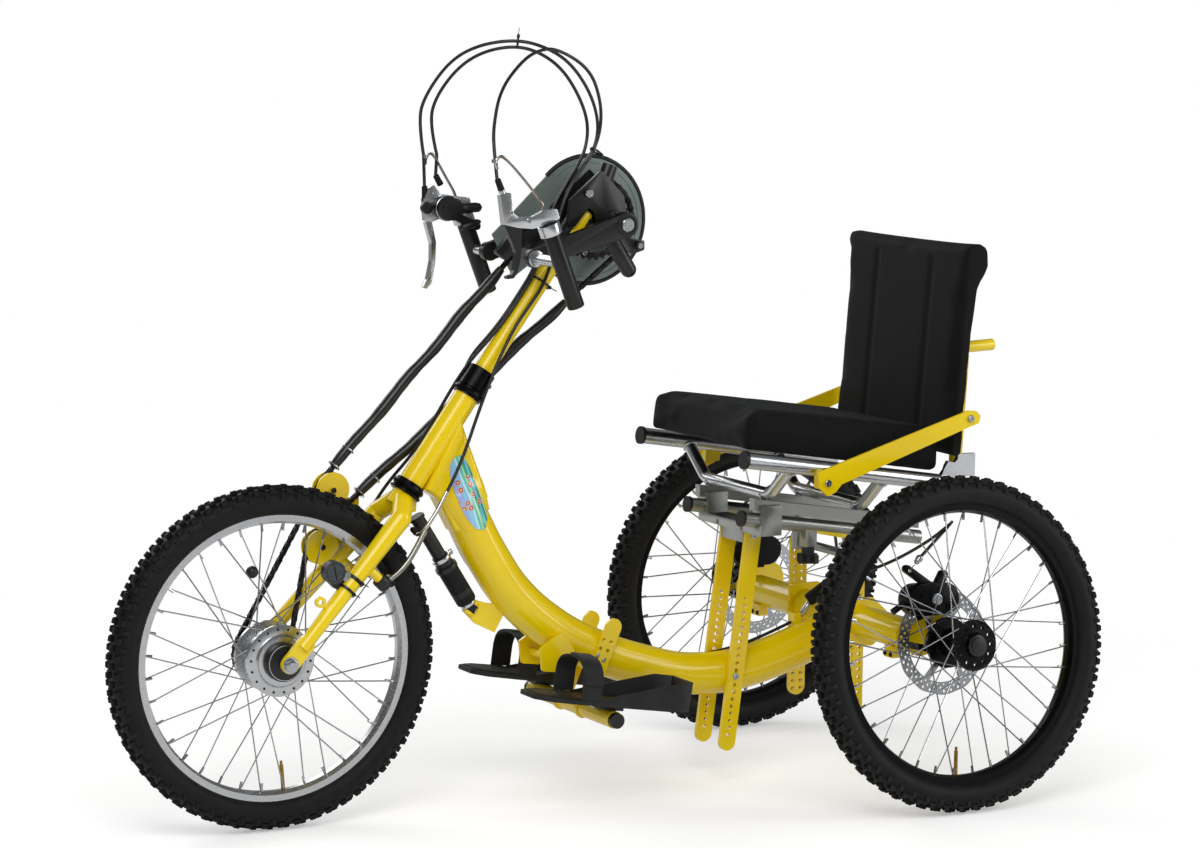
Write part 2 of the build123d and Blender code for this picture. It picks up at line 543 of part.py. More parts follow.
# Chain guard and its edging.
disc = across(CRANK_X, CRANK_Z, -66, -63, 97)
tail = plate([(16, 938), (108, 850), (72, 785), (30, 815), (-40, 850)], -66, -63)
opening = across(CRANK_X, CRANK_Z, -70, -60, 24)
guard = disc + tail - opening
save(guard, "chain_guard")
stay = plate([(-10, 870), (30, 868), (82, 856), (80, 832), (50, 828), (0, 850)], -22, -12, 4)
stay += rod((74, -14, 860), (74, -63, 860), 5)
stay += plate([(60, 866), (84, 868), (122, 826), (104, 814), (66, 846)], -34, -22, 4)
stay += across(68, 846, -36, -22, 8)
stay = stay - post
save(bracket + stay, "crank_bracket")

# Crank set.
arm_angle = radians(CRANK_DROP)
PIN_X = CRANK_X + CRANK_LENGTH * cos(arm_angle)
PIN_Z = CRANK_Z - CRANK_LENGTH * sin(arm_angle)
crank = across(CRANK_X, CRANK_Z, ARM_RIGHT_Y, ARM_LEFT_Y, 10)
for y in (ARM_LEFT_Y, ARM_RIGHT_Y):
    dx, dz = PIN_X - CRANK_X, PIN_Z - CRANK_Z
    n = Vector(-dz, 0, dx).normalized()
    pts = [(CRANK_X + n.X * 18, CRANK_Z + n.Z * 18), (PIN_X + n.X * 13, PIN_Z + n.Z * 13),
           (PIN_X - n.X * 13, PIN_Z - n.Z * 13), (CRANK_X - n.X * 18, CRANK_Z - n.Z * 18)]
    arm = plate(pts, y - 7, y + 7)
    arm += across(CRANK_X, CRANK_Z, y - 7, y + 7, 19) + across(PIN_X, PIN_Z, y - 7, y + 7, 14)
    crank += arm
crank += across(CRANK_X, CRANK_Z, ARM_LEFT_Y + 7, ARM_LEFT_Y + 9, 10)
crank += across(CRANK_X, CRANK_Z, -40, -32, 24)
save(crank, "crank_set")
pins = across(PIN_X, PIN_Z, ARM_LEFT_Y + 7, GRIP_Y + 4, 5)
pins_right = across(PIN_X, PIN_Z, ARM_RIGHT_Y - 7, -GRIP_Y - 4, 5)
ring_r = CHAIN_PITCH / 2 / sin(pi / RING_TEETH)
ring = Pos(CRANK_X, 0, CRANK_Z) * toothed(ring_r, RING_TEETH, 48)
ring += across(CRANK_X, CRANK_Z, CHAIN_Y - 1.2, CHAIN_Y + 1.2, 24, 10)
for turn in range(5):
    ring += Pos(CRANK_X, CHAIN_Y, CRANK_Z) * Rot(0, 72 * turn, 0) * Pos(36, 0, 0) * Box(32, 2.4, 12)
save(ring, "chainring")

# Grips, levers and their wire guides.
lean = Vector(38, 0, 97).normalized()


def grip_parts(side):
    """Grip on its crank pin, with the top leaning forward."""
    pin = Vector(PIN_X, side * GRIP_Y, PIN_Z)
    body = rod(pin - lean * 70, pin + lean * (GRIP_LENGTH - 70), GRIP_R)
    nose_start = GRIP_Y - 60 if side > 0 else GRIP_Y - 36
    nose = across(PIN_X, PIN_Z, side * nose_start, side * (GRIP_Y - GRIP_R - 1), 8.5)
    bore = across(PIN_X, PIN_Z, -200, 200, 5 + RUN)
    return body - bore, nose - body - bore


grip_left, nose_left = grip_parts(1)
grip_right, nose_right = grip_parts(-1)
save(grip_left, "grip_left")
save(grip_right, "grip_right")
save([pins, pins_right, nose_left, nose_right], "grip_pins")


def grip_point(side, up, ahead=0.0, dy=0.0):
    ahead_dir = Vector(lean.Z, 0, -lean.X)
    return Vector(PIN_X, side * GRIP_Y + dy, PIN_Z) + lean * up + ahead_dir * ahead


HANDS = {
    "left": {
        "side": 1,
        "body": [(101, 100), (84, 102), (80, 73), (72, 67), (50, 67), (31, 76), (11, 78), (6, 64), (28, 55),
                 (50, 50), (73, 52), (95, 57)],
        "blade": [(94, 56), (79, 26), (75, 16), (78, -9), (81, -15), (90, -17), (89, -21), (78, -20),
                  (72, -11), (67, 10), (65, 51)],
        "guide": [(30, 76), (30, 84), (62, 122), (97, 157), (108, 147), (104, 136)],
    },
    "right": {
        "side": -1,
        "body": [(80, 92), (70, 98), (58, 84), (30, 80), (11, 78), (6, 62), (40, 54), (74, 42), (84, 44),
                 (86, 76)],
        "blade": [(84, 43), (74, 10), (74, -16), (80, -44), (86, -56), (80, -58), (72, -50), (66, -18),
                  (65, 12), (72, 42)],
        "guide": [(30, 74), (32, 84), (50, 112), (71, 147), (82, 140), (82, 128)],
    },
}


def hand_plate(side, points, half, corner=0.0):
    """Plate from points measured from the crank pin."""
    world = [(PIN_X + dx, PIN_Z + dz) for dx, dz in points]
    return plate(world, side * GRIP_Y - half, side * GRIP_Y + half, corner)


lever_bodies = {}
for name, hand in HANDS.items():
    side = hand["side"]
    clamp = rod(grip_point(side, 44), grip_point(side, 60), GRIP_R + 4)
    hole = rod(grip_point(side, -80), grip_point(side, GRIP_LENGTH - 70), GRIP_R)
    barrel_top = Vector(PIN_X + hand["body"][0][0] - 8, side * GRIP_Y, PIN_Z + hand["body"][0][1] - 8)
    lever_body = clamp + hand_plate(side, hand["body"], 6, 1.5) - hole
    lever_body += rod(barrel_top, barrel_top + Vector(0.8, 0, 9), 4.5)
    guide = hose([Vector(PIN_X + dx, side * GRIP_Y, PIN_Z + dz) for dx, dz in hand["guide"]], 1.6)
    save([lever_body, guide - lever_body], f"lever_body_{name}")
    blade = hand_plate(side, hand["blade"], 4.5, 1.2) - lever_body
    save(blade, f"lever_blade_{name}")
    lever_bodies[name] = lever_body
dial = Vector(PIN_X + 47, -GRIP_Y, PIN_Z + 62)
shifter = across(dial.X, dial.Z, -GRIP_Y + 6, -GRIP_Y + 26, 17)
shifter += bar((dial.X, dial.Z), (PIN_X + 6, PIN_Z + 64), 7, -GRIP_Y + 14, -GRIP_Y + 24)
shifter += bar((dial.X, dial.Z - 8), (PIN_X + 6, PIN_Z + 36), 6, -GRIP_Y + 15, -GRIP_Y + 23)
shifter += across(PIN_X + 84, PIN_Z + 64, -GRIP_Y + 6, -GRIP_Y + 14, 9)
shifter = shifter - lever_bodies["right"] - rod(grip_point(-1, -80), grip_point(-1, 90), GRIP_R + 0.5)
save(shifter, "shifter")

# Idlers on the right blade and their plates.
IDLERS = ((378, 485, 20), (395, 402, 20))
idler_wheels, plates = [], None
for x, z, r in IDLERS:
    idler_wheels.append(across(x, z, CHAIN_Y - 4, CHAIN_Y + 4, r - 5.2, 4))
    inner_plate = across(x, z, CHAIN_Y + 6, CHAIN_Y + 9, r + 6)
    outer_plate = across(x, z, CHAIN_Y - 9, CHAIN_Y - 6, r + 6)
    pin = across(x, z, CHAIN_Y - 11, CHAIN_Y + 11, 4)
    for one in (inner_plate, outer_plate, pin):
        plates = one if plates is None else plates + one
plates += plate([(378, 470), (330, 470), (330, 452), (352, 440), (392, 420)], CHAIN_Y - 9, CHAIN_Y - 6)
plates += plate([(378, 500), (360, 480), (376, 412), (400, 420), (398, 490)], CHAIN_Y - 9, CHAIN_Y - 6)
plates += rod((372, CHAIN_Y - 7, 430), (362, -47, 388), 7)
save([plates - fork] + idler_wheels, "chain_idlers")


# Chain: one closed loop over the chainring, the idlers and the sprocket.
def tangent(c1, r1, s1, c2, r2, s2):
    """Ends of a run between two wheels; s is +1 where the wheel lies to the right of the run."""
    dx, dz = c2[0] - c1[0], c2[1] - c1[1]
    lean_in = asin((s1 * r1 - s2 * r2) / hypot(dx, dz))
    angle = atan2(dz, dx) - lean_in
    n = (-sin(angle), cos(angle))
    return ((c1[0] + s1 * r1 * n[0], c1[1] + s1 * r1 * n[1]),
            (c2[0] + s2 * r2 * n[0], c2[1] + s2 * r2 * n[1]))


CHAIN_STOPS = [((CRANK_X, CRANK_Z), ring_r, 1), (IDLERS[0][:2], IDLERS[0][2], 1),
               ((HALF, WHEEL_R), sprocket_r, 1), (IDLERS[1][:2], IDLERS[1][2], -1)]


BARE_RUNS = (1, 2)         # runs that no sleeve covers


def chain_line(shift):
    """Corner points of the loop, moved sideways by shift."""
    spots, waist = [], 0.25 * shift
    for i, (c, r, s) in enumerate(CHAIN_STOPS):
        before, after = CHAIN_STOPS[i - 1], CHAIN_STOPS[(i + 1) % len(CHAIN_STOPS)]
        start, end = tangent(*before, c, r, s)[1], tangent(c, r, s, *after)[0]
        a0 = atan2(start[1] - c[1], start[0] - c[0])
        a1 = atan2(end[1] - c[1], end[0] - c[0])
        swing = (s * (a0 - a1)) % (2 * pi)
        steps = max(2, 2 * round(swing * r / CHAIN_PITCH))
        for k in range(steps + 1):
            a, dip = a0 - s * swing * k / steps, waist * (k % 2)
            spots.append((c[0] + (r + s * (shift - dip)) * cos(a), c[1] + (r + s * (shift - dip)) * sin(a)))
        if i in BARE_RUNS:
            end, nxt = tangent(c, r, s, *after)
            run = Vector(nxt[0] - end[0], nxt[1] - end[1])
            side = Vector(-run.Y, run.X).normalized()
            halves = 2 * round(run.length / CHAIN_PITCH)
            for k in range(1, halves):
                spot = Vector(*end) + run * (k / halves) + side * (shift - waist * (k % 2))
                spots.append((spot.X, spot.Y))
    return spots


chain = plate(chain_line(4), CHAIN_Y - 4, CHAIN_Y + 4)
chain -= plate(chain_line(-4), CHAIN_Y - 5, CHAIN_Y + 5)
save(chain, "chain")

# Sleeves over the two chain runs.
def sleeve(start, end, first, last):
    """Loose sleeve round one chain run, between two X values."""
    points = []
    for k in range(9):
        x = first + (last - first) * k / 8
        z = start[1] + (end[1] - start[1]) * (x - start[0]) / (end[0] - start[0])
        points.append((x, CHAIN_Y, z + 1.8 * sin(2.3 * k)))
    return hose(points, 8.5)


out_run = tangent(*CHAIN_STOPS[0], *CHAIN_STOPS[1])
back_run = tangent(*CHAIN_STOPS[3], *CHAIN_STOPS[0])
sleeves = [sleeve(*out_run, 374, 103), sleeve(*back_run, 334, -5)]
save([one - chain for one in sleeves], "chain_sleeves")

# Rim brake on the back of the fork blades, and the wheel sensor on the left blade.
brake_arms, pads = [], []
for s in (-1, 1):
    foot = on_blade(88, 40, s * 46)
    arm = rod(foot, on_blade(-10, 46, s * 39), 5) + rod(on_blade(88, 30, s * 47), on_blade(88, 52, s * 45), 10)
    pad = across(HALF, WHEEL_R, s * 18, s * 27, RIM_R - 1, RIM_R - 12)
    pad = pad & (Pos(*on_blade(70, 45, s * 22)) * Box(44, 20, 44))
    post = rod(on_blade(70, 46, s * 26), on_blade(70, 46, s * 42), 4)
    brake_arms.append(arm + post)
    pads.append(pad)
save([one - fork for one in brake_arms] + pads, "rim_brake")
sensor_foot = on_blade(127, -8, 52)
sensor = across(415.5, 380, 46, 60, 16.4) + bar((415.5, 380), (404, 368), 15, 44, 56)
sensor += bar((404, 368), (sensor_foot.X, sensor_foot.Z), 10, 46, 56)
for along in (116, 133):
    band = on_blade(along, 0, 41 + BLADE_SPREAD * along)
    slant = Vector(BLADE_DIR.X, BLADE_SPREAD, BLADE_DIR.Z) * 1.5
    sensor += rod(band - slant, band + slant, 15.9 - along * 0.0208)
save(sensor - fork, "wheel_sensor")

STRUT_TOP = on_axis(-24, -22)
run = (STRUT_LOW - STRUT_TOP).normalized()
strut = rod(STRUT_TOP + run * 15, STRUT_TOP + run * 96, 10.5)
strut += rod(STRUT_TOP + run * 96, STRUT_LOW - run * 18, 13.5)
strut += rod(STRUT_LOW + NORMAL * 6, STRUT_LOW + NORMAL * 20, 4.5)
strut += rod(STRUT_LOW - AXIS * 6, STRUT_LOW + AXIS * 6, 9)
for at, r in ((88, 13), (104, 15.5), (150, 15.5)):
    strut += rod(STRUT_TOP + run * at, STRUT_TOP + run * (at + 9), r)
strut -= rod(STRUT_LOW - AXIS * 20, STRUT_LOW + AXIS * 20, 4 + RUN)
save(strut, "centring_strut")

# Brake and gear cables, held by ties down the steering post and along the main tube.
CABLE_R = 2.5
front_brake_route = [
    (203, 143, 943), (203, 132, 985), (196, 115, 1017), (173, 90, 1069), (126, 62, 1108), (88, 38, 1124),
    (47, 20, 1128), (-15, 8, 1098), (-36, 5, 1051), (-38, 3, 1008), (-24, 4, 972), (-4, 8, 950),
    (17, 13, 926), (33, 16, 896), (44, 18, 860), (48, 18, 820), (62, 17, 780), (84, 17, 752),
    (108, 18, 722), (132, 20, 682), (156, 24, 634), (175, 26, 589), (192, 29, 547), (210, 32, 510),
    (226, 34, 483), (240, 37, 461), (263, 39, 431)]
rear_brake_route = [
    (184, -143, 965), (197, -135, 1017), (193, -120, 1055), (166, -92, 1107), (132, -62, 1131),
    (86, -32, 1139), (47, -16, 1129), (9, -10, 1107), (-23, -7, 1065), (-38, -5, 1021), (-34, -4, 985),
    (-16, -3, 960), (8, -3, 934), (32, -3, 902), (48, -3, 862), (58, -3, 826), (74, -3, 794),
    (93, -3, 767), (117, -3, 734), (141, -6, 705), (164, -14, 678), (176, -24, 645), (186, -28, 610),
    (200, -28, 572), (212, -29, 535), (214, -31, 499), (206, -35, 465), (190, -38, 422)]
gear_route = [
    (162, -143, 965), (178, -136, 1012), (176, -120, 1052), (152, -92, 1098), (122, -64, 1122),
    (82, -38, 1130), (48, -24, 1119), (16, -17, 1095), (-10, -14, 1056), (-24, -12, 1018),
    (-20, -8, 984), (-4, -1, 957), (18, 4, 930), (40, 6, 898), (53, 6, 860), (61, 6, 826),
    (75, 6, 792), (93, 6, 766), (117, 6, 733), (142, 2, 702), (171, -8, 668), (195, -16, 630),
    (223, -22, 580), (252, -30, 532), (284, -50, 488), (306, -63, 446), (345, -64, 405),
    (386, -70, 360), (427, -74, 317), (456, -79, 282), (478, -84, 258)]
save([hose(front_brake_route, CABLE_R, "front brake") - lever_bodies["left"] - brake_arms[1],
      hose(rear_brake_route, CABLE_R, "rear brake") - lever_bodies["right"],
      hose(gear_route, CABLE_R, "gear") - shifter - shift_box], "control_cables")

# The rear brake's cable along the main tube, its adjuster, and one cable to each rear caliper.
tube_route = [
    (189.7, -37.9, 421.3), (169, -34, 375), (147, -38, 348), (99, -36, 325), (60, -29, 308), (26, -27, 285),
    (-20, -27, 257), (-75, -27, 231), (-132, -27, 214), (-186, -27, 197), (-246, -27, 194),
    (-296, -24, 202), (-342, -21, 214), (-396.8, -19, 234.5)]
split_route = [
    (-457, 5, 295), (-484, 26, 310), (-516, 76, 334), (-544, 138, 374), (-546, 196, 410),
    (-523, 240, 424), (-489, 262, 410), (-448, 269, 379)]
adjuster = rod((-414.3, -19, 243), (-428, -15, 264), 5)
boot = rod((-424, -13, 268), (-458, 0, 296), 11) - adjuster
one_split = hose(split_route, CABLE_R, "rear split") - boot - caliper
save([hose(tube_route, CABLE_R, "main tube"), adjuster, boot, one_split, mirror_y(one_split)], "brake_cables")
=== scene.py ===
import bpy
from math import asin, atan2, cos, exp, hypot, pi, radians, sin
from mathutils import Matrix, Vector


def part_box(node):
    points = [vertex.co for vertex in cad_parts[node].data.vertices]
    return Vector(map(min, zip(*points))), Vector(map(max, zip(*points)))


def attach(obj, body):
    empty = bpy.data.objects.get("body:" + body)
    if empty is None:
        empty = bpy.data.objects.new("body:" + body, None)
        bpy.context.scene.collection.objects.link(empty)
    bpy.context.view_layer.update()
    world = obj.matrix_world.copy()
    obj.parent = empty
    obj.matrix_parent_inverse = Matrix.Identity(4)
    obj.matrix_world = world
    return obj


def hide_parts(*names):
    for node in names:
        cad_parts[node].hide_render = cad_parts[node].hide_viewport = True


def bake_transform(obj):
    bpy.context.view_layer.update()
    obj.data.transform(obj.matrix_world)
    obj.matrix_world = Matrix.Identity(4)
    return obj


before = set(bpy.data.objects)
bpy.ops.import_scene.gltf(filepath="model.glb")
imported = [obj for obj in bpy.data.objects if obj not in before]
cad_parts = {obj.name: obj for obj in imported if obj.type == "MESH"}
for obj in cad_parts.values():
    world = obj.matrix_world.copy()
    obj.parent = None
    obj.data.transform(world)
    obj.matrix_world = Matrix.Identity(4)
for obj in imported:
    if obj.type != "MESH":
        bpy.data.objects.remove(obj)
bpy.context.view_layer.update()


# Studio: a pale sweep of paper under large soft boxes. The camera stands ahead of the handbike on its
# left side with a long lens, a little above the seat.
def put(name, data, place=Matrix.Identity(4)):
    """A new object in the scene, at a matrix."""
    made = bpy.data.objects.new(name, data)
    bpy.context.scene.collection.objects.link(made)
    made.matrix_world = place
    return made


def looking(place, target):
    """Where a camera or a lamp stands, turned to what it faces."""
    turn = (Vector(target) - Vector(place)).to_track_quat("-Z", "Y")
    return Matrix.Translation(place) @ turn.to_matrix().to_4x4()


def add(material, kind, settings=None, inputs=None):
    """One node with its settings; an input given as a socket is linked, any other is set."""
    made = material.node_tree.nodes.new(kind)
    for name, value in (settings or {}).items():
        if name == "stops":
            ramp = made.color_ramp
            while len(ramp.elements) < len(value):
                ramp.elements.new(0.5)
            for element, (position, colour) in zip(ramp.elements, value):
                element.position, element.color = position, linear(colour)
        else:
            setattr(made, name, value)
    for name, value in (inputs or {}).items():
        if isinstance(value, bpy.types.NodeSocket):
            material.node_tree.links.new(value, made.inputs[name])
        else:
            made.inputs[name].default_value = value
    return made


def linear(code):
    """sRGB hex to linear colour."""
    channels = [int(code[i:i + 2], 16) / 255 for i in (1, 3, 5)]
    return tuple(c / 12.92 if c <= 0.04045 else ((c + 0.055) / 1.055) ** 2.4 for c in channels) + (1.0,)


def bare(thing):
    """Empty a world or material of nodes; give its light path and the rays that see it directly."""
    thing.use_nodes = True
    thing.node_tree.nodes.clear()
    path = add(thing, "ShaderNodeLightPath")
    return path, add(thing, "ShaderNodeMath", {"operation": "MAXIMUM"},
                     {0: path.outputs["Is Camera Ray"], 1: path.outputs["Is Transmission Ray"]})


camera = put("camera", bpy.data.cameras.new("camera"),
             looking((2.4177, 4.6006, 1.2090), (-0.044, 0.0, 0.566)) @ Matrix.Rotation(radians(0.71), 4, "Z"))
camera.data.lens, camera.data.sensor_width = 105, 36
bpy.context.scene.camera = camera
bpy.context.scene.view_settings.view_transform = "Standard"
for name, place, target, width, height, power, colour in (
        ("key light", (1.6, 2.6, 3.2), (0, 0, 0.4), 2.4, 2.0, 62, (1.0, 0.99, 0.97)),
        ("side light", (-3.0, 2.4, 1.6), (-0.2, 0, 0.5), 1.6, 2.2, 38, (0.97, 0.98, 1.0)),
        ("rim light", (0.6, -3.0, 2.2), (0, 0, 0.6), 2.6, 1.6, 34, (1.0, 1.0, 1.0))):
    lamp = bpy.data.lights.new(name, "AREA")
    lamp.shape, lamp.size, lamp.size_y, lamp.energy, lamp.color = "RECTANGLE", width, height, power, colour
    put(name, lamp, looking(place, target))

world = bpy.data.worlds.new("studio air")
bpy.context.scene.world = world
path, seen = bare(world)
dim = add(world, "ShaderNodeMapRange", None,
          {"Value": path.outputs["Is Glossy Ray"], "To Min": 0.46, "To Max": 0.16})
level = add(world, "ShaderNodeMapRange", None,
            {"Value": seen.outputs[0], "To Min": dim.outputs[0], "To Max": 1.0})
air = add(world, "ShaderNodeBackground", None, {"Color": (1, 1, 1, 1), "Strength": level.outputs[0]})
add(world, "ShaderNodeOutputWorld", None, {"Surface": air.outputs[0]})

# Matt paper: white and even, with no edge or horizon to be seen.
paper = bpy.data.materials.new("matt white paper")
path, seen = bare(paper)
mat_white = add(paper, "ShaderNodeBsdfDiffuse", None, {"Color": (0.86, 0.86, 0.86, 1)})
glow = add(paper, "ShaderNodeEmission", None, {"Color": (1, 1, 1, 1), "Strength": 0.34})
lit = add(paper, "ShaderNodeAddShader", None, {0: mat_white.outputs[0], 1: glow.outputs[0]})
where = add(paper, "ShaderNodeTexCoord")
away = add(paper, "ShaderNodeVectorMath", {"operation": "LENGTH"}, {0: where.outputs["Object"]})
fade = add(paper, "ShaderNodeMapRange", {"interpolation_type": "SMOOTHSTEP"},
           {"Value": away.outputs["Value"], "From Min": 0.9, "From Max": 2.0})
blank = add(paper, "ShaderNodeEmission", None, {"Color": (1, 1, 1, 1), "Strength": 1.0})
sheet = add(paper, "ShaderNodeMixShader", None,
            {0: fade.outputs[0], 1: lit.outputs[0], 2: blank.outputs[0]})
blend_in = add(paper, "ShaderNodeMixShader", None,
               {0: seen.outputs[0], 1: mat_white.outputs[0], 2: sheet.outputs[0]})
add(paper, "ShaderNodeOutputMaterial", None, {"Surface": blend_in.outputs[0]})
bpy.ops.object.select_all(action="DESELECT")
bpy.ops.mesh.primitive_plane_add(size=24, location=(0, 0, -0.0005))
floor = bpy.context.object
floor.name = "floor"
floor.data.materials.append(paper)


# Frame tubes: curved main tube, head tube, cross sleeve, perforated seat bars, footrest bars and fork.
# Welded steel in gloss enamel: deep even yellow, mirror-smooth with a faint orange-peel.
def substance(name, colour, metallic, roughness, tint=None, gloss=None, grain=None, **more):
    """Material with constants on the shader's sockets, and noise for uneven tint, gloss and relief.

    tint is (scale, detail, stop, colour, stop, colour), gloss (scale, detail, least, most roughness)
    and grain (scale, detail, strength, depth in metres)."""
    material = bpy.data.materials.new(name)
    material.use_nodes = True
    shader = material.node_tree.nodes["Principled BSDF"]
    shader.inputs["Base Color"].default_value = linear(colour)
    for socket, value in {"metallic": metallic, "roughness": roughness, **more}.items():
        shader.inputs[socket.replace("_", " ").title().replace("Ior", "IOR")].default_value = value
    where = add(material, "ShaderNodeTexCoord")

    def speckle(scale, detail):
        spots = {"Vector": where.outputs["Object"], "Scale": scale, "Detail": detail}
        return add(material, "ShaderNodeTexNoise", None, spots).outputs["Fac"]

    if tint:
        stops = {"stops": [tint[2:4], tint[4:6]]}
        mottle = add(material, "ShaderNodeValToRGB", stops, {"Fac": speckle(*tint[:2])})
        join_to(material, "Base Color", mottle.outputs["Color"])
    if gloss:
        satin = add(material, "ShaderNodeMapRange", None,
                    {"Value": speckle(*gloss[:2]), "To Min": gloss[2], "To Max": gloss[3]})
        join_to(material, "Roughness", satin.outputs[0])
    if grain:
        relief = add(material, "ShaderNodeBump", None,
                     {"Height": speckle(*grain[:2]), "Strength": grain[2], "Distance": grain[3]})
        join_to(material, "Normal", relief.outputs["Normal"])
    return material


def join_to(material, socket, value):
    """Link a node's output to a socket of the material's shader."""
    material.node_tree.links.new(value, material.node_tree.nodes["Principled BSDF"].inputs[socket])


def dress(material, *names):
    """Give carried-over CAD nodes their finish."""
    for name in names:
        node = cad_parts[name]
        node.data.materials.clear()
        node.data.materials.append(material)


enamel = substance("gloss yellow enamel", "#FBDD0A", 0.0, 0.22,
                   tint=(9.0, 3.0, 0.3, "#EECB00", 0.7, "#F6D802"), grain=(420.0, 2.0, 0.05, 0.0004), ior=1.5,
                   coat_weight=0.5, coat_roughness=0.06, specular_ior_level=0.4)
dress(enamel, "main_frame", "front_bars", "rear_bars", "backrest_frame", "seat_arms", "footrest_frame",
      "fork", "steering_post", "chain_idlers", "axle_carriers")


# Wheels: one knobbly tyre, copied to the three places. Moulded rubber over a nylon casing, with square
# centre blocks in staggered pairs and wedge blocks on the shoulders.
WHEEL_R, RIM_R, AXLE_X, TRACK_Y, CAMBER = 0.252, 0.210, 0.487, 0.3157, radians(6.1)
HUB_Z = (WHEEL_R - 0.025) * cos(CAMBER) + 0.025
WHEELS = {
    "front": Matrix.Translation((AXLE_X, 0, WHEEL_R)),
    "left": Matrix.Translation((-AXLE_X, TRACK_Y, HUB_Z)) @ Matrix.Rotation(CAMBER, 4, "X"),
    "right": Matrix.Translation((-AXLE_X, -TRACK_Y, HUB_Z)) @ Matrix.Rotation(-CAMBER, 4, "X")
    @ Matrix.Rotation(pi, 4, "Z"),
}
BODY = {"front": "front_wheel", "left": "rear_wheel_left", "right": "rear_wheel_right"}
CASING_R, CASING_AT, TYRE_HALF, SQUARE, PITCHES = 0.020, 0.226, 0.0245, 3.2, 60
ACROSS = (pi / 2, 0, 0)


def only(piece):
    """Select this piece alone and make it active."""
    bpy.ops.object.select_all(action="DESELECT")
    piece.select_set(True)
    bpy.context.view_layer.objects.active = piece


def start(kind, **place):
    """A primitive with nothing else selected."""
    if bpy.context.object and bpy.context.object.mode != "OBJECT":
        bpy.ops.object.mode_set(mode="OBJECT")
    bpy.ops.object.select_all(action="DESELECT")
    getattr(bpy.ops.mesh, f"primitive_{kind}_add")(**place)
    return bpy.context.object


def select(piece, test=lambda at, n: True, kind="FACE"):
    """Open a piece in edit mode with the faces or points selected whose place and normal pass a test."""
    bpy.ops.object.mode_set(mode="OBJECT")
    mesh, place = piece.data, piece.matrix_world
    for group in (mesh.polygons, mesh.edges, mesh.vertices):
        for one in group:
            one.select = False
    if kind == "VERT":
        chosen = [v for v in mesh.vertices if test(place @ v.co, v.normal)]
    else:
        chosen = [f for f in mesh.polygons if test(place @ f.center, f.normal)]
    for one in chosen:
        one.select = True
    bpy.ops.object.mode_set(mode="EDIT")
    bpy.context.tool_settings.mesh_select_mode = (kind == "VERT", False, kind == "FACE")


def close_up(gap=0.0):
    """Merge the doubled points of the mesh being edited and turn its faces outwards."""
    bpy.ops.mesh.select_all(action="SELECT")
    if gap:
        bpy.ops.mesh.remove_doubles(threshold=gap)
    bpy.ops.mesh.normals_make_consistent(inside=False)
    bpy.ops.object.mode_set(mode="OBJECT")


def pull(way):
    """Extrude what is selected."""
    bpy.ops.mesh.extrude_region_move(TRANSFORM_OT_translate={"value": way})


def settle(piece, smooth=40):
    """Bake the object's place into its mesh and shade it."""
    if piece.mode != "OBJECT":
        bpy.ops.object.mode_set(mode="OBJECT")
    only(piece)
    bpy.ops.object.transform_apply(location=True, rotation=True, scale=True)
    if smooth:
        bpy.ops.object.shade_smooth_by_angle(angle=radians(smooth))
    return piece


def apply(piece, kind, **settings):
    """Add one modifier and apply it."""
    bpy.context.view_layer.objects.active = piece
    made = piece.modifiers.new(kind.lower(), kind)
    for name, value in settings.items():
        setattr(made, name, value)
    bpy.ops.object.modifier_apply(modifier=made.name)


def join(name, *parts):
    """Make several pieces one."""
    bpy.ops.object.select_all(action="DESELECT")
    for one in parts:
        one.select_set(True)
    bpy.context.view_layer.objects.active = parts[0]
    if len(parts) > 1:
        bpy.ops.object.join()
    parts[0].name = name
    return parts[0]


def copy(piece, name, turn=Matrix.Identity(4)):
    """A copy with its own mesh, moved by a matrix that goes into the mesh."""
    mesh = piece.data.copy()
    mesh.transform(turn)
    return put(name, mesh)


def fit(piece, material, body, name=None, cad=None):
    """Hand a finished piece over: its name, material, the CAD node it replaces and body."""
    if name:
        piece.name = name
    if material:
        piece.data.materials.append(material)
    if cad:
        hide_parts(cad)
    if body:
        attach(piece, body)
    return piece


def block(x, y, z, length, width, height, taper, tilt=0):
    """Rubber block standing on the tread: broad foot, narrower top, softened edges."""
    piece = start("cube", size=1, location=(x, y, z), scale=(height, width, length))
    bpy.ops.object.transform_apply(location=False, rotation=False, scale=True)
    select(piece, lambda at, n: n.x > 0.9)
    bpy.ops.transform.resize(value=(1, taper, taper))
    bpy.ops.object.mode_set(mode="OBJECT")
    apply(piece, "BEVEL", width=0.0006, segments=1, limit_method="ANGLE")
    piece.matrix_world = piece.matrix_world @ Matrix.Rotation(radians(tilt), 4, "Z")
    return settle(piece, 0)


def tyre_casing():
    """Round section, squared at the tread, spun about the axle."""
    piece = start("circle", vertices=36, radius=CASING_R, location=(CASING_AT, 0, 0), rotation=ACROSS)
    settle(piece, 0)
    for vertex in piece.data.vertices:
        lean = atan2(vertex.co.z, vertex.co.x - CASING_AT)
        flat, wide = cos(lean), sin(lean)
        fat = 1.0 if flat < 0 else (abs(flat) ** SQUARE + abs(wide) ** SQUARE) ** (-1 / SQUARE)
        vertex.co = Vector((CASING_AT + CASING_R * flat * min(fat, 1.16),
                            TYRE_HALF * wide * min(fat, 1.0), 0))
    select(piece, kind="VERT")
    bpy.ops.mesh.spin(steps=120, angle=2 * pi, center=(0, 0, 0), axis=(0, 1, 0))
    close_up(0.00005)
    return settle(piece, 60)


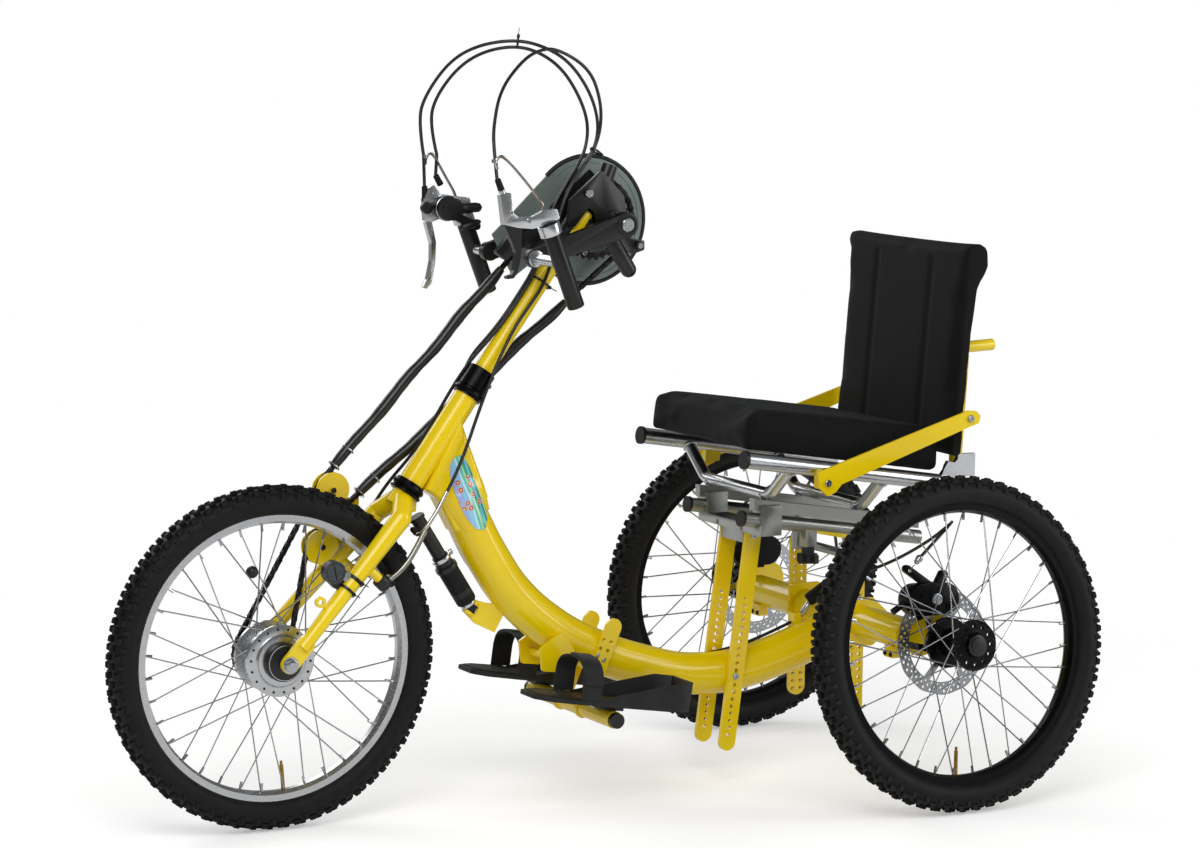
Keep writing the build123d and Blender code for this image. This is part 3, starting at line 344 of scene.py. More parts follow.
def knob_ring():
    """Blocks of one pitch, copied round the tyre."""
    row, step = [], 2 * pi / PITCHES * WHEEL_R
    for side in (1, -1):
        shift = 0.25 * step * side
        row += [block(0.2487, side * 0.0052, shift, 0.0098, 0.0078, 0.0056, 0.84),
                block(0.2448, side * 0.0170, -shift, 0.0125, 0.0105, 0.0060, 0.62, 26 * side),
                block(0.2375, side * 0.0232, -shift + 0.5 * step, 0.0085, 0.0040, 0.0100, 0.6, 14 * side)]
    pitch = join("knobs", *row)
    turns = [Matrix.Rotation(2 * pi * k / PITCHES, 4, "Y") for k in range(PITCHES)]
    return join("knobs", pitch, *(copy(pitch, f"knobs_{k}", turns[k]) for k in range(1, PITCHES)))


# Moulded rubber: near black and dull, a little greyer in patches.
rubber = substance("moulded tyre rubber", "#0C0D0E", 0.0, 0.6,
                   tint=(55.0, 5.0, 0.35, "#040505", 0.75, "#0D0E0F"), grain=(900.0, 2.0, 0.25, 0.0003),
                   ior=1.52, specular_ior_level=0.3)
one_tyre = join("front_tyre_tread", tyre_casing(), knob_ring())
one_tyre.data.materials.clear()
one_tyre.data.materials.append(rubber)
for side in ("left", "right"):
    fit(copy(one_tyre, f"rear_tyre_{side}", WHEELS[side]), None, BODY[side], cad=f"tyre_{side}")
one_tyre.data.transform(WHEELS["front"])
fit(one_tyre, None, "front_wheel", cad="front_tyre")


# Rims, spokes, hubs and brass valves. Extruded alloy rims with spun hubs, laced with stainless spokes:
# silver in front with a polished braking band, black anodised behind.
# Machined aluminium: bright and cool, its gloss broken by faint tool marks.
alloy = substance("machined aluminium", "#C9CBCE", 1.0, 0.24, gloss=(160.0, 4.0, 0.16, 0.36))
dress(alloy, "front_rim", "front_hub")
# Black anodising: dark metal with a soft sheen.
anodised = substance("black anodised aluminium", "#0D0D0F", 0.75, 0.3, gloss=(240.0, 3.0, 0.22, 0.42))
dress(anodised, "rim_left", "rim_right", "hub_left", "hub_right", "headset_cups", "post_collar",
      "crank_bracket", "brake_calipers")
# Drawn stainless steel: bright grey, with hard small glints.
stainless = substance("drawn stainless steel", "#B9BCC0", 1.0, 0.22, gloss=(700.0, 2.0, 0.15, 0.32))
dress(stainless, "front_spokes", "spokes_left", "spokes_right", "grip_pins", "front_axle", "rim_brake")
# Turned brass: warm yellow, browner where it has tarnished.
brass = substance("turned brass", "#B58A3A", 1.0, 0.28, tint=(300.0, 2.0, 0.3, "#8F6A26", 0.8, "#C79C4A"))

for wheel, angle in (("front", 5), ("left", -4), ("right", 40)):
    stem = start("cylinder", vertices=14, radius=0.0029, depth=0.040, location=(0, 0, -RIM_R + 0.030))
    select(stem, lambda at, n: at.z > -RIM_R + 0.0495)
    bpy.ops.mesh.inset(thickness=0.0008)
    pull((0, 0, 0.006))
    settle(stem).data.transform(WHEELS[wheel] @ Matrix.Rotation(radians(angle), 4, "Y"))
    fit(stem, brass, BODY[wheel], f"valve_{wheel}")

nipples = []
for k in range(36):
    nipples.append(start("cylinder", vertices=8, radius=0.0021, depth=0.013,
                         location=(RIM_R - 0.0185, 0, 0), rotation=(0, pi / 2, 0)))
    settle(nipples[-1]).data.transform(Matrix.Rotation(radians(10 * k + 5), 4, "Y"))
nipples = join("front_nipples", *nipples)
nipples.data.materials.append(stainless)
for side in ("left", "right"):
    fit(copy(nipples, f"nipples_{side}", WHEELS[side]), None, BODY[side])
nipples.data.transform(WHEELS["front"])
fit(nipples, None, "front_wheel")


# Brake discs: 160 mm laser-cut stainless rings, drilled all round on a wavy edge, on six swept arms
# bolted to the hub.
DISC_R, DISC_Y = 0.080, -0.044


def drum(sides, radius, depth, at=(0, 0, 0), smooth=30):
    """Short cylinder lying across the handbike."""
    piece = start("cylinder", vertices=sides, radius=radius, depth=depth, location=at, rotation=ACROSS)
    return settle(piece, smooth)


def cut_out(piece, *cutters):
    """Take the cutters' forms out of a piece."""
    cutter = join("cutter", *cutters)
    apply(piece, "BOOLEAN", operation="DIFFERENCE", solver="EXACT", object=cutter)
    bpy.data.objects.remove(cutter)


def brake_disc():
    """Drilled and windowed ring with its six bolts, about the wheel's own axis."""
    piece = drum(144, DISC_R, 0.002, (0, DISC_Y, 0), 0)
    for vertex in piece.data.vertices:
        scale = 1 - 0.018 * (0.5 - 0.5 * cos(12 * atan2(vertex.co.z, vertex.co.x)))
        vertex.co.x, vertex.co.z = vertex.co.x * scale, vertex.co.z * scale
    cuts = []
    for k in range(36):
        for r, lead, size in ((0.0745, 0.0, 0.0023), (0.0690, 0.5, 0.0020), (0.0640, 0.0, 0.0017)):
            a = 2 * pi * (k + lead) / 36
            cuts.append(drum(12, size, 0.01, (r * cos(a), DISC_Y, r * sin(a)), 0))
    outline = [(0.0605, radians(-25 + 25 * n / 3)) for n in range(7)]
    outline += [(0.031, radians(6 - 10 * n)) for n in range(5)]
    for k in range(6):
        window = drum(12, 0.01, 0.01, (0, DISC_Y, 0), 0)
        for vertex in window.data.vertices:
            r, a = outline[round(atan2(vertex.co.z, vertex.co.x) / (pi / 6)) % 12]
            vertex.co.x, vertex.co.z = r * cos(a), r * sin(a)
        window.data.transform(Matrix.Rotation(2 * pi * (k + 0.5) / 6, 4, "Y"))
        cuts.append(window)
    cut_out(piece, *cuts)
    bolts = []
    for k in range(6):
        bolts.append(start("cylinder", vertices=12, radius=0.0034, depth=0.003,
                           location=(0.0205, DISC_Y - 0.0022, 0), rotation=ACROSS))
        select(bolts[-1], lambda at, n: n.z > 0.9 or n.z < -0.9)
        bpy.ops.mesh.inset(thickness=0.0012)
        settle(bolts[-1], 30).data.transform(Matrix.Rotation(2 * pi * k / 6, 4, "Y"))
    return settle(join("brake_disc_left", piece, *bolts), 30)


left_disc = brake_disc()
left_disc.data.materials.append(stainless)
right_disc = copy(left_disc, "brake_disc_right", WHEELS["right"])
left_disc.data.transform(WHEELS["left"])
for disc, side in ((left_disc, "left"), (right_disc, "right")):
    fit(disc, None, BODY[side], cad=f"rotor_{side}")


# Seat cushion: a foam block in a stretched black knitted cover, flat below where it lies on the rails,
# softly crowned above, with all its edges rounded.
# Knitted polyester: dull black with a grey bloom at its edges. The ribs lie 1.4 mm apart, coarser than the
# real knit, so that they show.
cover = substance("black knitted polyester cover", "#1B1C1E", 0.0, 0.78,
                  tint=(22.0, 4.0, 0.3, "#050606", 0.75, "#0B0C0D"),
                  sheen_weight=0.07, sheen_roughness=0.4, sheen_tint=linear("#8A949A"), ior=1.45,
                  specular_ior_level=0.3)
where = add(cover, "ShaderNodeTexCoord")
knit = add(cover, "ShaderNodeTexWave", {"wave_type": "BANDS", "bands_direction": "DIAGONAL"},
           {"Vector": where.outputs["Object"], "Scale": 260.0, "Distortion": 3.0, "Detail": 2.0})
cross = add(cover, "ShaderNodeTexNoise", None, {"Vector": where.outputs["Object"],
                                                "Scale": 850.0, "Detail": 3.0})
stitch = add(cover, "ShaderNodeMath", {"operation": "ADD"}, {0: knit.outputs["Fac"], 1: cross.outputs["Fac"]})
weave = add(cover, "ShaderNodeBump", None, {"Height": stitch.outputs[0], "Strength": 0.55,
                                            "Distance": 0.0007})
join_to(cover, "Normal", weave.outputs["Normal"])
SLOPE, VOXEL, PRESSURE, STEPS = 0.15, 0.0055, 4.0, 20


def merged_copy(cad, name):
    """The CAD solid's surface as a closed mesh of its own."""
    made = copy(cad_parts[cad], name)
    made.data.materials.clear()
    only(made)
    bpy.ops.object.mode_set(mode="EDIT")
    close_up(0.00005)
    return made


def swollen(cad, name, keep, cap):
    """A cover shrunk towards its middle, then inflated by cloth simulation, no point further than the cap."""
    piece = merged_copy(cad, name)
    low = Vector([min(v.co[k] for v in piece.data.vertices) for k in range(3)])
    high = Vector([max(v.co[k] for v in piece.data.vertices) for k in range(3)])
    middle = (low + high) / 2
    for vertex in piece.data.vertices:
        vertex.co = Vector([middle[k] + (vertex.co[k] - middle[k]) * keep[k] for k in range(3)])
    piece.data.remesh_voxel_size = VOXEL
    bpy.context.view_layer.objects.active = piece
    bpy.ops.object.voxel_remesh()
    rest = [v.co.copy() for v in piece.data.vertices]
    cloth = piece.modifiers.new("cloth", "CLOTH")
    cloth.settings.quality = 5
    cloth.settings.mass = 0.3
    cloth.settings.tension_stiffness = cloth.settings.compression_stiffness = 40
    cloth.settings.use_pressure = True
    cloth.settings.uniform_pressure_force = PRESSURE
    cloth.settings.effector_weights.gravity = 0
    cloth.point_cache.frame_start, cloth.point_cache.frame_end = 1, STEPS
    for step in range(STEPS):
        bpy.context.scene.frame_set(step + 1)
    bpy.ops.object.modifier_apply(modifier=cloth.name)
    bpy.context.scene.frame_set(1)
    for vertex, old in zip(piece.data.vertices, rest):
        move = vertex.co - old
        if move.length > cap:
            vertex.co = old + move.normalized() * cap
    return piece


cushion = swollen("seat_cushion", "seat_cushion_cover", (0.985, 0.975, 0.93), 0.009)
low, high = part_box("seat_cushion")
for vertex in cushion.data.vertices:
    floor_z = low.z + SLOPE * (vertex.co.x - low.x)
    if vertex.co.z < floor_z + 0.004:
        vertex.co.z = floor_z + 0.001
apply(cushion, "SMOOTH", factor=0.5, iterations=6)
fit(settle(cushion, 60), cover, "frame", cad="seat_cushion")


# Backrest: foam panel in the same cover, sewn down in two upright channels and turned over the top of
# its shell.
SEAM_Y, SEAM_DEEP, SEAM_WIDE, SEAM_TOP = 0.077, 0.0040, 0.004, 0.812
backrest = swollen("backrest_pad", "backrest_cover", (0.90, 0.975, 0.985), 0.008)
for vertex in backrest.data.vertices:
    face = vertex.normal.x > 0.3 and vertex.co.z < SEAM_TOP
    for seam in (-SEAM_Y, SEAM_Y):
        away = abs(vertex.co.y - seam)
        if face and away < 3 * SEAM_WIDE:
            vertex.co.x -= SEAM_DEEP * exp(-(away / SEAM_WIDE) ** 2)
apply(backrest, "SMOOTH", factor=0.4, iterations=2)
fit(settle(backrest, 60), cover, "frame", cad="backrest_pad")


# Brake and gear cables: steel wire in black PVC housing. Each loops from its lever over the crank axle and
# down the steering post, held by ties; the rear one goes on along the main tube to both calipers.
CABLE_D = 0.005
# PVC: black, smooth and slightly waxy.
housing = substance("black PVC cable housing", "#121315", 0.0, 0.34, gloss=(380.0, 3.0, 0.26, 0.46), ior=1.53,
                    coat_weight=0.2, coat_roughness=0.2)


def mm(*v):
    """Point or step given in millimetres."""
    return Vector(v) / 1000


def centreline(points):
    """Points along the smooth line through a cable's route."""
    data = bpy.data.curves.new("route", "CURVE")
    data.dimensions, data.resolution_u = "3D", 10
    spline = data.splines.new("NURBS")
    spline.points.add(len(points) - 1)
    for spot, point in zip(spline.points, points):
        spot.co = (*point, 1)
    spline.order_u = 3
    spline.use_endpoint_u = True
    route = put("route", data)
    bpy.context.view_layer.update()
    mesh = bpy.data.meshes.new_from_object(route.evaluated_get(bpy.context.evaluated_depsgraph_get()))
    line = [v.co.copy() for v in mesh.vertices]
    bpy.data.objects.remove(route)
    bpy.data.meshes.remove(mesh)
    return line


def hosepipe(name, line, radius, material, body, widths=None, smooth=40, cad=None):
    """Round tube along a line, closed at both ends, its width even or given for each point."""
    data = bpy.data.curves.new(name, "CURVE")
    data.dimensions, data.bevel_depth, data.bevel_resolution, data.use_fill_caps = "3D", radius, 4, True
    spline = data.splines.new("POLY")
    spline.points.add(len(line) - 1)
    for spot, point, width in zip(spline.points, line, widths or [1.0] * len(line)):
        spot.co, spot.radius = (*point, 1), width
    only(put(name, data))
    bpy.ops.object.convert(target="MESH")
    piece = settle(bpy.context.object, smooth)
    piece.data.materials.clear()
    return fit(piece, material, body, cad=cad)


def nearest(line, point):
    """Number of the line's point closest to a place."""
    return min(range(len(line)), key=lambda k: (line[k] - mm(*point)).length)


# Each route in mm, with the handle it hangs from and its nearest points over the crank and at the post.
ROUTES = {
    "front_brake": (
        [(203, 143, 943), (203, 132, 985), (196, 115, 1017), (173, 90, 1069), (126, 62, 1108), (88, 38, 1124),
         (47, 20, 1128), (-15, 8, 1098), (-36, 5, 1051), (-38, 3, 1008), (-24, 4, 972), (-4, 8, 950),
         (17, 13, 926), (33, 16, 896), (44, 18, 860), (48, 18, 820), (62, 17, 780), (84, 17, 752),
         (108, 18, 722), (132, 20, 682), (156, 24, 634), (175, 26, 589), (192, 29, 547), (210, 32, 510),
         (226, 34, 483), (240, 37, 461), (263, 39, 431)],
        "left_handle", (107, 50, 1116), (33, 16, 896)),
    "rear_brake": (
        [(184, -143, 965), (197, -135, 1017), (193, -120, 1055), (166, -92, 1107), (132, -62, 1131),
         (86, -32, 1139), (47, -16, 1129), (9, -10, 1107), (-23, -7, 1065), (-38, -5, 1021), (-34, -4, 985),
         (-16, -3, 960), (8, -3, 934), (32, -3, 902), (48, -3, 862), (58, -3, 826), (74, -3, 794),
         (93, -3, 767), (117, -3, 734), (141, -6, 705), (164, -14, 678), (176, -24, 645), (186, -28, 610),
         (200, -28, 572), (212, -29, 535), (214, -31, 499), (206, -35, 465), (190, -38, 422)],
        "right_handle", (109, -47, 1135), (32, -3, 902)),
    "gear": (
        [(162, -143, 965), (178, -136, 1012), (176, -120, 1052), (152, -92, 1098), (122, -64, 1122),
         (82, -38, 1130), (48, -24, 1119), (16, -17, 1095), (-10, -14, 1056), (-24, -12, 1018),
         (-20, -8, 984), (-4, -1, 957), (18, 4, 930), (40, 6, 898), (53, 6, 860), (61, 6, 826), (75, 6, 792),
         (93, 6, 766), (117, 6, 733), (142, 2, 702), (171, -8, 668), (195, -16, 630), (223, -22, 580),
         (252, -30, 532), (284, -50, 488), (306, -63, 446), (345, -64, 405), (386, -70, 360), (427, -74, 317),
         (456, -79, 282), (478, -84, 258)],
        "right_handle", (102, -51, 1126), (40, 6, 898)),
}
for cable, (points, handle, top, post) in ROUTES.items():
    line = centreline([mm(*p) for p in points])
    top, post = nearest(line, top), nearest(line, post)
    for part, run, ends in (("hand", line[:top + 1], (handle, "crank")),
                            ("loop", line[top:post + 1], ("crank", "fork"))):
        piece = hosepipe(f"{cable}_cable_{part}", run, CABLE_D / 2, housing, None)
        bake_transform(piece)
    if cable == "rear_brake":
        held = hosepipe(f"{cable}_cable_held", line[post:], CABLE_D / 2, housing, None)
        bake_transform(held)
    else:
        held = hosepipe(f"{cable}_cable_held", line[post:], CABLE_D / 2, housing, "fork")
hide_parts("control_cables")

TUBE_ROUTE = [
    (189.7, -37.9, 421.3), (169, -34, 375), (147, -38, 348), (99, -36, 325), (60, -29, 308), (26, -27, 285),
    (-20, -27, 257), (-75, -27, 231), (-132, -27, 214), (-186, -27, 197), (-246, -27, 194), (-296, -24, 202),
    (-342, -21, 214), (-396.8, -19, 234.5)]
SPLIT_ROUTE = [(-457, 5, 295), (-484, 26, 310), (-516, 76, 334), (-544, 138, 374), (-546, 196, 410),
               (-523, 240, 424), (-489, 262, 410), (-448, 269, 379)]
hosepipe("main_tube_cable", centreline([mm(*p) for p in TUBE_ROUTE]), CABLE_D / 2, housing, "frame",
         cad="brake_cables")
for side, name in ((1, "left"), (-1, "right")):
    hosepipe(f"caliper_cable_{name}", centreline([mm(x, side * y, z) for x, y, z in SPLIT_ROUTE]),
             CABLE_D / 2, housing, "frame")


def aimed(at, way):
    """Matrix that stands a piece's Z axis at a point, along a direction."""
    return Matrix.Translation(at) @ Vector(way).to_track_quat("Z", "Y").to_matrix().to_4x4()


for name, a, b, r0, r1, material, body in (
        ("adjuster", (-414.3, -19, 243), (-428, -15, 264), 5.0, 5.0, alloy, "frame"),
        ("splitter_boot", (-424, -13, 268), (-458, 0, 296), 10.5, 10.5, rubber, "frame"),
        ("adjuster_front_brake", (193.5, 143, 921), (196.5, 143, 930), 5.0, 4.6, alloy, "left_handle"),
        ("boot_front_brake", (196, 143, 928.5), (202.6, 142.8, 944.5), 5.0, 4.4, rubber, "left_handle"),
        ("boot_rear_brake", (181, -143, 896), (182, -143, 919), 5.0, 4.4, rubber, "right_handle"),
        ("boot_gear", (155.2, -143, 920), (164, -143, 935), 5.0, 4.4, rubber, "right_handle"),
        ("tail_rear_brake", (182, -143, 915), (184, -143, 966), 2.5, 2.5, housing, "right_handle"),
        ("tail_gear", (164, -143, 933), (162, -143, 966), 2.5, 2.5, housing, "right_handle")):
    a, b = mm(*a), mm(*b)
    piece = start("cone", vertices=20, radius1=r0 / 1000, radius2=r1 / 1000, depth=(b - a).length)
    apply(piece, "BEVEL", width=min(r0, r1) / 4000, segments=2, limit_method="ANGLE")
    piece.matrix_world = aimed((a + b) / 2, b - a)
    fit(settle(piece), material, body, name)


# Headset cups and the collar that clamps the steering post: turned black aluminium rings with a rounded
# lip, the collar closed by a socket screw.
def eased(cad, name, width, material, body, segments=2):
    """A CAD solid's form with its edges broken, in place of the solid."""
    piece = merged_copy(cad, name)
    bpy.ops.object.mode_set(mode="EDIT")
    bpy.ops.mesh.select_all(action="SELECT")
    bpy.ops.mesh.dissolve_limited(angle_limit=radians(1.0))
    bpy.ops.object.mode_set(mode="OBJECT")
    apply(piece, "BEVEL", width=width, segments=segments, limit_method="ANGLE", angle_limit=radians(50))
    return fit(settle(piece, 35), material, body, cad=cad)


def turned(name, profile, at, way, material, body, steps=32, smooth=32, cad=None):
    """Ring or plug spun from (radius, height) points in mm, standing at a point along a direction."""
    piece = start("circle", vertices=len(profile), radius=0.01)
    settle(piece, 0)
    for vertex, (r, along) in zip(piece.data.vertices, profile):
        vertex.co = mm(r, 0, along)
    select(piece, kind="VERT")
    bpy.ops.mesh.spin(steps=steps, angle=2 * pi, center=(0, 0, 0), axis=(0, 0, 1))
    close_up(0.00002)
    piece.matrix_world = aimed(at, way)
    return fit(settle(piece, smooth), material, body, name, cad)


def screw(name, at, out, r, body, material=stainless, deep=0.6):
    """Socket screw head of radius r, in mm, standing on a face."""
    h = r * deep
    profile = [(0, 0), (r, 0), (r, h * 0.8), (r * 0.86, h), (r * 0.5, h), (r * 0.5, h * 0.35), (0, h * 0.35)]
    return turned(name, profile, at, out, material, body, 16)


LEFT = Vector((0, 1, 0))
HEAD_FOOT, HEAD_ANGLE = Vector((272, 0, 489)), radians(54.3)
AXIS = Vector((-cos(HEAD_ANGLE), 0, sin(HEAD_ANGLE)))
AHEAD = Vector((AXIS.z, 0, -AXIS.x))


def on_axis(along, ahead=0.0, y=0.0):
    """Point up the steering axis, in mm, and ahead of it."""
    return (HEAD_FOOT + LEFT * y + AXIS * along + AHEAD * ahead) / 1000


for name, low, high in (("lower_cup_lip", -5.5, 3.5), ("upper_cup_lip", 160.5, 168.0)):
    tall = high - low
    turned(name, [(21.9, 0), (24, 1), (25.2, tall / 2), (24, tall - 1), (21.9, tall)],
           on_axis(low), AXIS, anodised, "frame", 48)
turned("collar_band", [(19.9, 0), (21.2, 1.2), (21.2, 31.8), (19.9, 33)],
       on_axis(171), AXIS, anodised, "fork", 48)
screw("collar_screw", on_axis(188, -17, 13), (-0.4, 0.9, -0.1), 3.4, "fork")


# Zip ties: black nylon straps round the cables, the post and the fork blade, each with its square head
# and cut tail.
# Moulded nylon: black with a satin skin.
nylon = substance("black nylon", "#0D0E0F", 0.0, 0.42, gloss=(500.0, 3.0, 0.3, 0.52), ior=1.53)


def brick(size, place, bevel=0.0, segments=1, smooth=30):
    """Box of a size in metres, its edges broken, moved by a matrix."""
    piece = start("cube", size=1, scale=size)
    if bevel:
        apply(piece, "BEVEL", width=bevel, segments=segments)
    piece.matrix_world = place @ piece.matrix_world
    return settle(piece, smooth)


def zip_tie(name, at, along, r, body, tail):
    """Strap of radius r, in mm, round the line through a point; head and tail where tail points."""
    along, tail = Vector(along).normalized(), Vector(tail)
    tail = (tail - along * tail.dot(along)).normalized()
    turn = Matrix((along.cross(tail), along, tail)).transposed().to_4x4()
    strap = turned(name, [(r, -1.6), (r + 1.2, -1.6), (r + 1.2, 1.6), (r, 1.6)], at, along, nylon, body,
                   28)
    head = brick((0.0048, 0.0046, 0.0042), Matrix.Translation(at + tail * (r + 1.6) / 1000) @ turn, 0.0005)
    end = brick((0.0026, 0.0010, 0.011), Matrix.Translation(at + tail * (r + 8) / 1000) @ turn)
    for one in (head, end):
        one.data.materials.append(nylon)
    return join(name, strap, head, end)


zip_tie("zip_post_top", on_axis(362, 0, 0), AXIS, 16.8, "fork", (-0.6, 0.75, -0.5))
zip_tie("zip_loop", mm(86, -28, 1137), (0.85, -0.45, 0.1), 6.2, "crank", (0.1, 0.3, 1))
shell_tie = zip_tie("zip_shell", mm(-30, 2, 975), (-0.5, 0, 0.8), 8.5, None, (-1, 0.3, -0.3))
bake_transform(shell_tie)


# Crank bracket: welded black plates, a round stub and a crank shell clamped on the post, with two bolts.
# The post's painted end shows through its side.
# Powder coat: black with a pebbled satin skin, its grain drawn at 1.5 mm, coarser than real, to show.
powder = substance("satin black powder coat", "#0B0C0D", 0.0, 0.36,
                   tint=(40.0, 3.0, 0.3, "#08090A", 0.7, "#121315"),
                   grain=(650.0, 2.0, 0.12, 0.0003), ior=1.5, specular_ior_level=0.55)
bracket = eased("crank_bracket", "crank_bracket_plates", 0.0009, powder, "fork")
window = start("cylinder", vertices=32, radius=0.0170, depth=0.016)
window.matrix_world = Matrix.Translation(on_axis(440, 0, 22)) @ Matrix.Rotation(pi / 2, 4, "X")
settle(window, 0)
select(window, lambda at, n: at.x < on_axis(440).x, "VERT")
bpy.ops.transform.translate(value=on_axis(476) - on_axis(440))
bpy.ops.object.mode_set(mode="OBJECT")
cut_out(bracket, window)
settle(bracket, 35)
turned("post_end", [(0, 0), (15.8, 0), (15.8, 53), (14, 56.5), (8, 57.5), (0, 57.5)],
       on_axis(432), AXIS, enamel, "fork", 40)
turned("ring_bolt", [(3.4, 0), (6.2, 0), (6.6, 1.5), (5.8, 3), (3.6, 3), (3.4, 1.2), (0, 1.2), (0, 0)],
       mm(-7, 26.5, 914), LEFT, alloy, "fork")
screw("stay_bolt", mm(68.4, -20, 845), LEFT, 7.5, "fork", anodised, 0.9)
screw("arm_bolt", mm(-94, 27, 835), LEFT, 4.2, "fork", alloy)


# Crank set and chainring: forged black arms with silver bolts and dust caps, a cut steel chainring on a
# five-armed carrier, and grip pins of polished steel.
eased("crank_set", "crank_arms", 0.0022, powder, "crank", 3)
CRANK, PIN = mm(-52, 0, 869), mm(99.095, 0, 822.805)
turned("crank_cap", [(0, 0), (10.2, 0), (10.2, 1.6), (9.2, 2.6), (3, 2.6), (2.6, 2), (0, 2)],
       CRANK + mm(0, 65.1, 0), LEFT, alloy, "crank", 40)
turned("crank_cap_ring", [(12.8, 0), (16.4, 0), (16, 1.2), (13.2, 1.2)],
       CRANK + mm(0, 63.2, 0), LEFT, powder, "crank", 40)
for side, y, out in (("left", 63.2, LEFT), ("right", -99.2, -LEFT)):
    turned(f"pin_washer_{side}", [(5.2, 0), (12.5, 0), (12.5, 1.6), (11, 2.4), (5.2, 2.4)],
           PIN + mm(0, y, 0), out, alloy, "crank", 36)
# Oiled steel: dark grey metal with browner patches of old oil.
dark_steel = substance("oiled dark steel", "#2A2A2B", 1.0, 0.36,
                       tint=(120.0, 4.0, 0.3, "#1B1B1C", 0.75, "#4A4742"))
dress(dark_steel, "chainring", "sprocket")
for k in range(5):
    a = radians(72 * k)
    turned(f"ring_screw_{k}", [(0, 0), (4.8, 0), (4.8, 1.2), (4, 2), (1.8, 2), (1.8, 0.8), (0, 0.8)],
           CRANK + mm(50 * cos(a), -40.8, -50 * sin(a)), LEFT, alloy, "crank", 14)


# Chain guard: a thermoformed grey disc with a tail down to the front run, a raised line inside its rim
# and a black rubber edging.
# Moulded plastic: matt slate grey, faintly clouded.
grey_plastic = substance("slate grey moulded plastic", "#74807C", 0.0, 0.38,
                         tint=(14.0, 4.0, 0.3, "#64706C", 0.72, "#7F8B87"),
                         grain=(900.0, 2.0, 0.1, 0.0002), ior=1.49)
dress(grey_plastic, "chain_guard")
# Extruded rubber: black, duller and shinier by turns.
edging = substance("black rubber edging", "#101112", 0.0, 0.5, gloss=(90.0, 4.0, 0.38, 0.62), ior=1.52)
GUARD_Y = -64.5


def guard_arc(radius, first, last, count, y):
    """Points round the guard's centre between two angles from straight ahead, rising."""
    turns = [radians(first + (last - first) * k / count) for k in range(count + 1)]
    return [CRANK + mm(radius * cos(a), y, radius * sin(a)) for a in turns]


hosepipe("guard_edging", guard_arc(96.5, 44, 322, 90, GUARD_Y), 0.0034, edging, "fork")
hosepipe("guard_bead", guard_arc(86.5, 50, 300, 80, GUARD_Y + 1.4), 0.0011, grey_plastic, "fork")


# Chain: half-inch bicycle chain of oiled steel, its riveted side plates waisted between the rollers. It
# runs from the ring over two idlers to the front wheel's sprocket.
PITCH, CHAIN_Y = 12.7, -42.0
RING_R, SPROCKET_R, IDLER_R = PITCH / 2 / sin(pi / 32), PITCH / 2 / sin(pi / 21), 20
STOPS = [((-52, 869), RING_R, 1), ((378, 485), IDLER_R, 1), ((487, 252), SPROCKET_R, 1),
         ((395, 402), IDLER_R, -1)]


def tangent(c1, r1, s1, c2, r2, s2):
    """Ends of a run between two wheels; s is +1 where the wheel lies to the right of the run."""
    dx, dz = c2[0] - c1[0], c2[1] - c1[1]
    angle = atan2(dz, dx) - asin((s1 * r1 - s2 * r2) / hypot(dx, dz))
    n = (-sin(angle), cos(angle))
    return ((c1[0] + s1 * r1 * n[0], c1[1] + s1 * r1 * n[1]),
            (c2[0] + s2 * r2 * n[0], c2[1] + s2 * r2 * n[1]))


loop = []
for k, (c, r, s) in enumerate(STOPS):
    before, after = STOPS[k - 1], STOPS[(k + 1) % 4]
    first, last = tangent(*before, c, r, s)[1], tangent(c, r, s, *after)[0]
    a0, a1 = atan2(first[1] - c[1], first[0] - c[0]), atan2(last[1] - c[1], last[0] - c[0])
    swing = (s * (a0 - a1)) % (2 * pi)
    turns = [a0 - s * swing * j / 40 for j in range(41)]
    loop += [Vector((c[0] + r * cos(a), c[1] + r * sin(a))) for a in turns]
loop.append(loop[0])
reach = [0.0]
for a, b in zip(loop, loop[1:]):
    reach.append(reach[-1] + (b - a).length)
links = 2 * round(reach[-1] / PITCH / 2)


def spot_at(distance):
    """Point on the chain's line, in mm, at a distance along it."""
    k = max(j for j in range(len(loop) - 1) if reach[j] <= distance)
    share = (distance - reach[k]) / max(reach[k + 1] - reach[k], 1e-9)
    return loop[k].lerp(loop[k + 1], share)


def link_plate(half, y):
    """Side plate of one link, in mm: two round ends and a waist."""
    piece = start("circle", vertices=20, radius=4.1, fill_type="NGON", rotation=ACROSS)
    settle(piece, 0)
    for vertex in piece.data.vertices:
        side = 1 if vertex.co.x >= 0 else -1
        waist = abs(vertex.co.x) < 1.5
        grow, squeeze = (0, 0.72) if waist else (side * half, 1)
        vertex.co = Vector((vertex.co.x + grow, y, vertex.co.z * squeeze))
    select(piece)
    pull((0, 0.9 if y > 0 else -0.9, 0))
    close_up()
    return settle(piece, 30)


half = PITCH / 2
outer = join("outer_link", link_plate(half, 3.0), link_plate(half, -3.0),
             drum(8, 1.7, 8.0, (-half, 0, 0)), drum(8, 1.7, 8.0, (half, 0, 0)))
inner = join("inner_link", link_plate(half, 2.0), link_plate(half, -2.0),
             drum(12, 3.6, 4.4, (-half, 0, 0)), drum(12, 3.6, 4.4, (half, 0, 0)))
chain_links = []
for k in range(links):
    a, b = (spot_at((j % links) * reach[-1] / links) for j in (k, k + 1))
    mid, way = (a + b) / 2, b - a
    place = Matrix.Scale(0.001, 4) @ Matrix.Translation((mid.x, CHAIN_Y, mid.y))
    place = place @ Matrix.Rotation(-atan2(way.y, way.x), 4, "Y")
    chain_links.append(copy((outer, inner)[k % 2], f"link_{k}", place))
for one in (outer, inner):
    bpy.data.objects.remove(one)
fit(join("drive_chain", *chain_links), dark_steel, "fork", cad="chain")
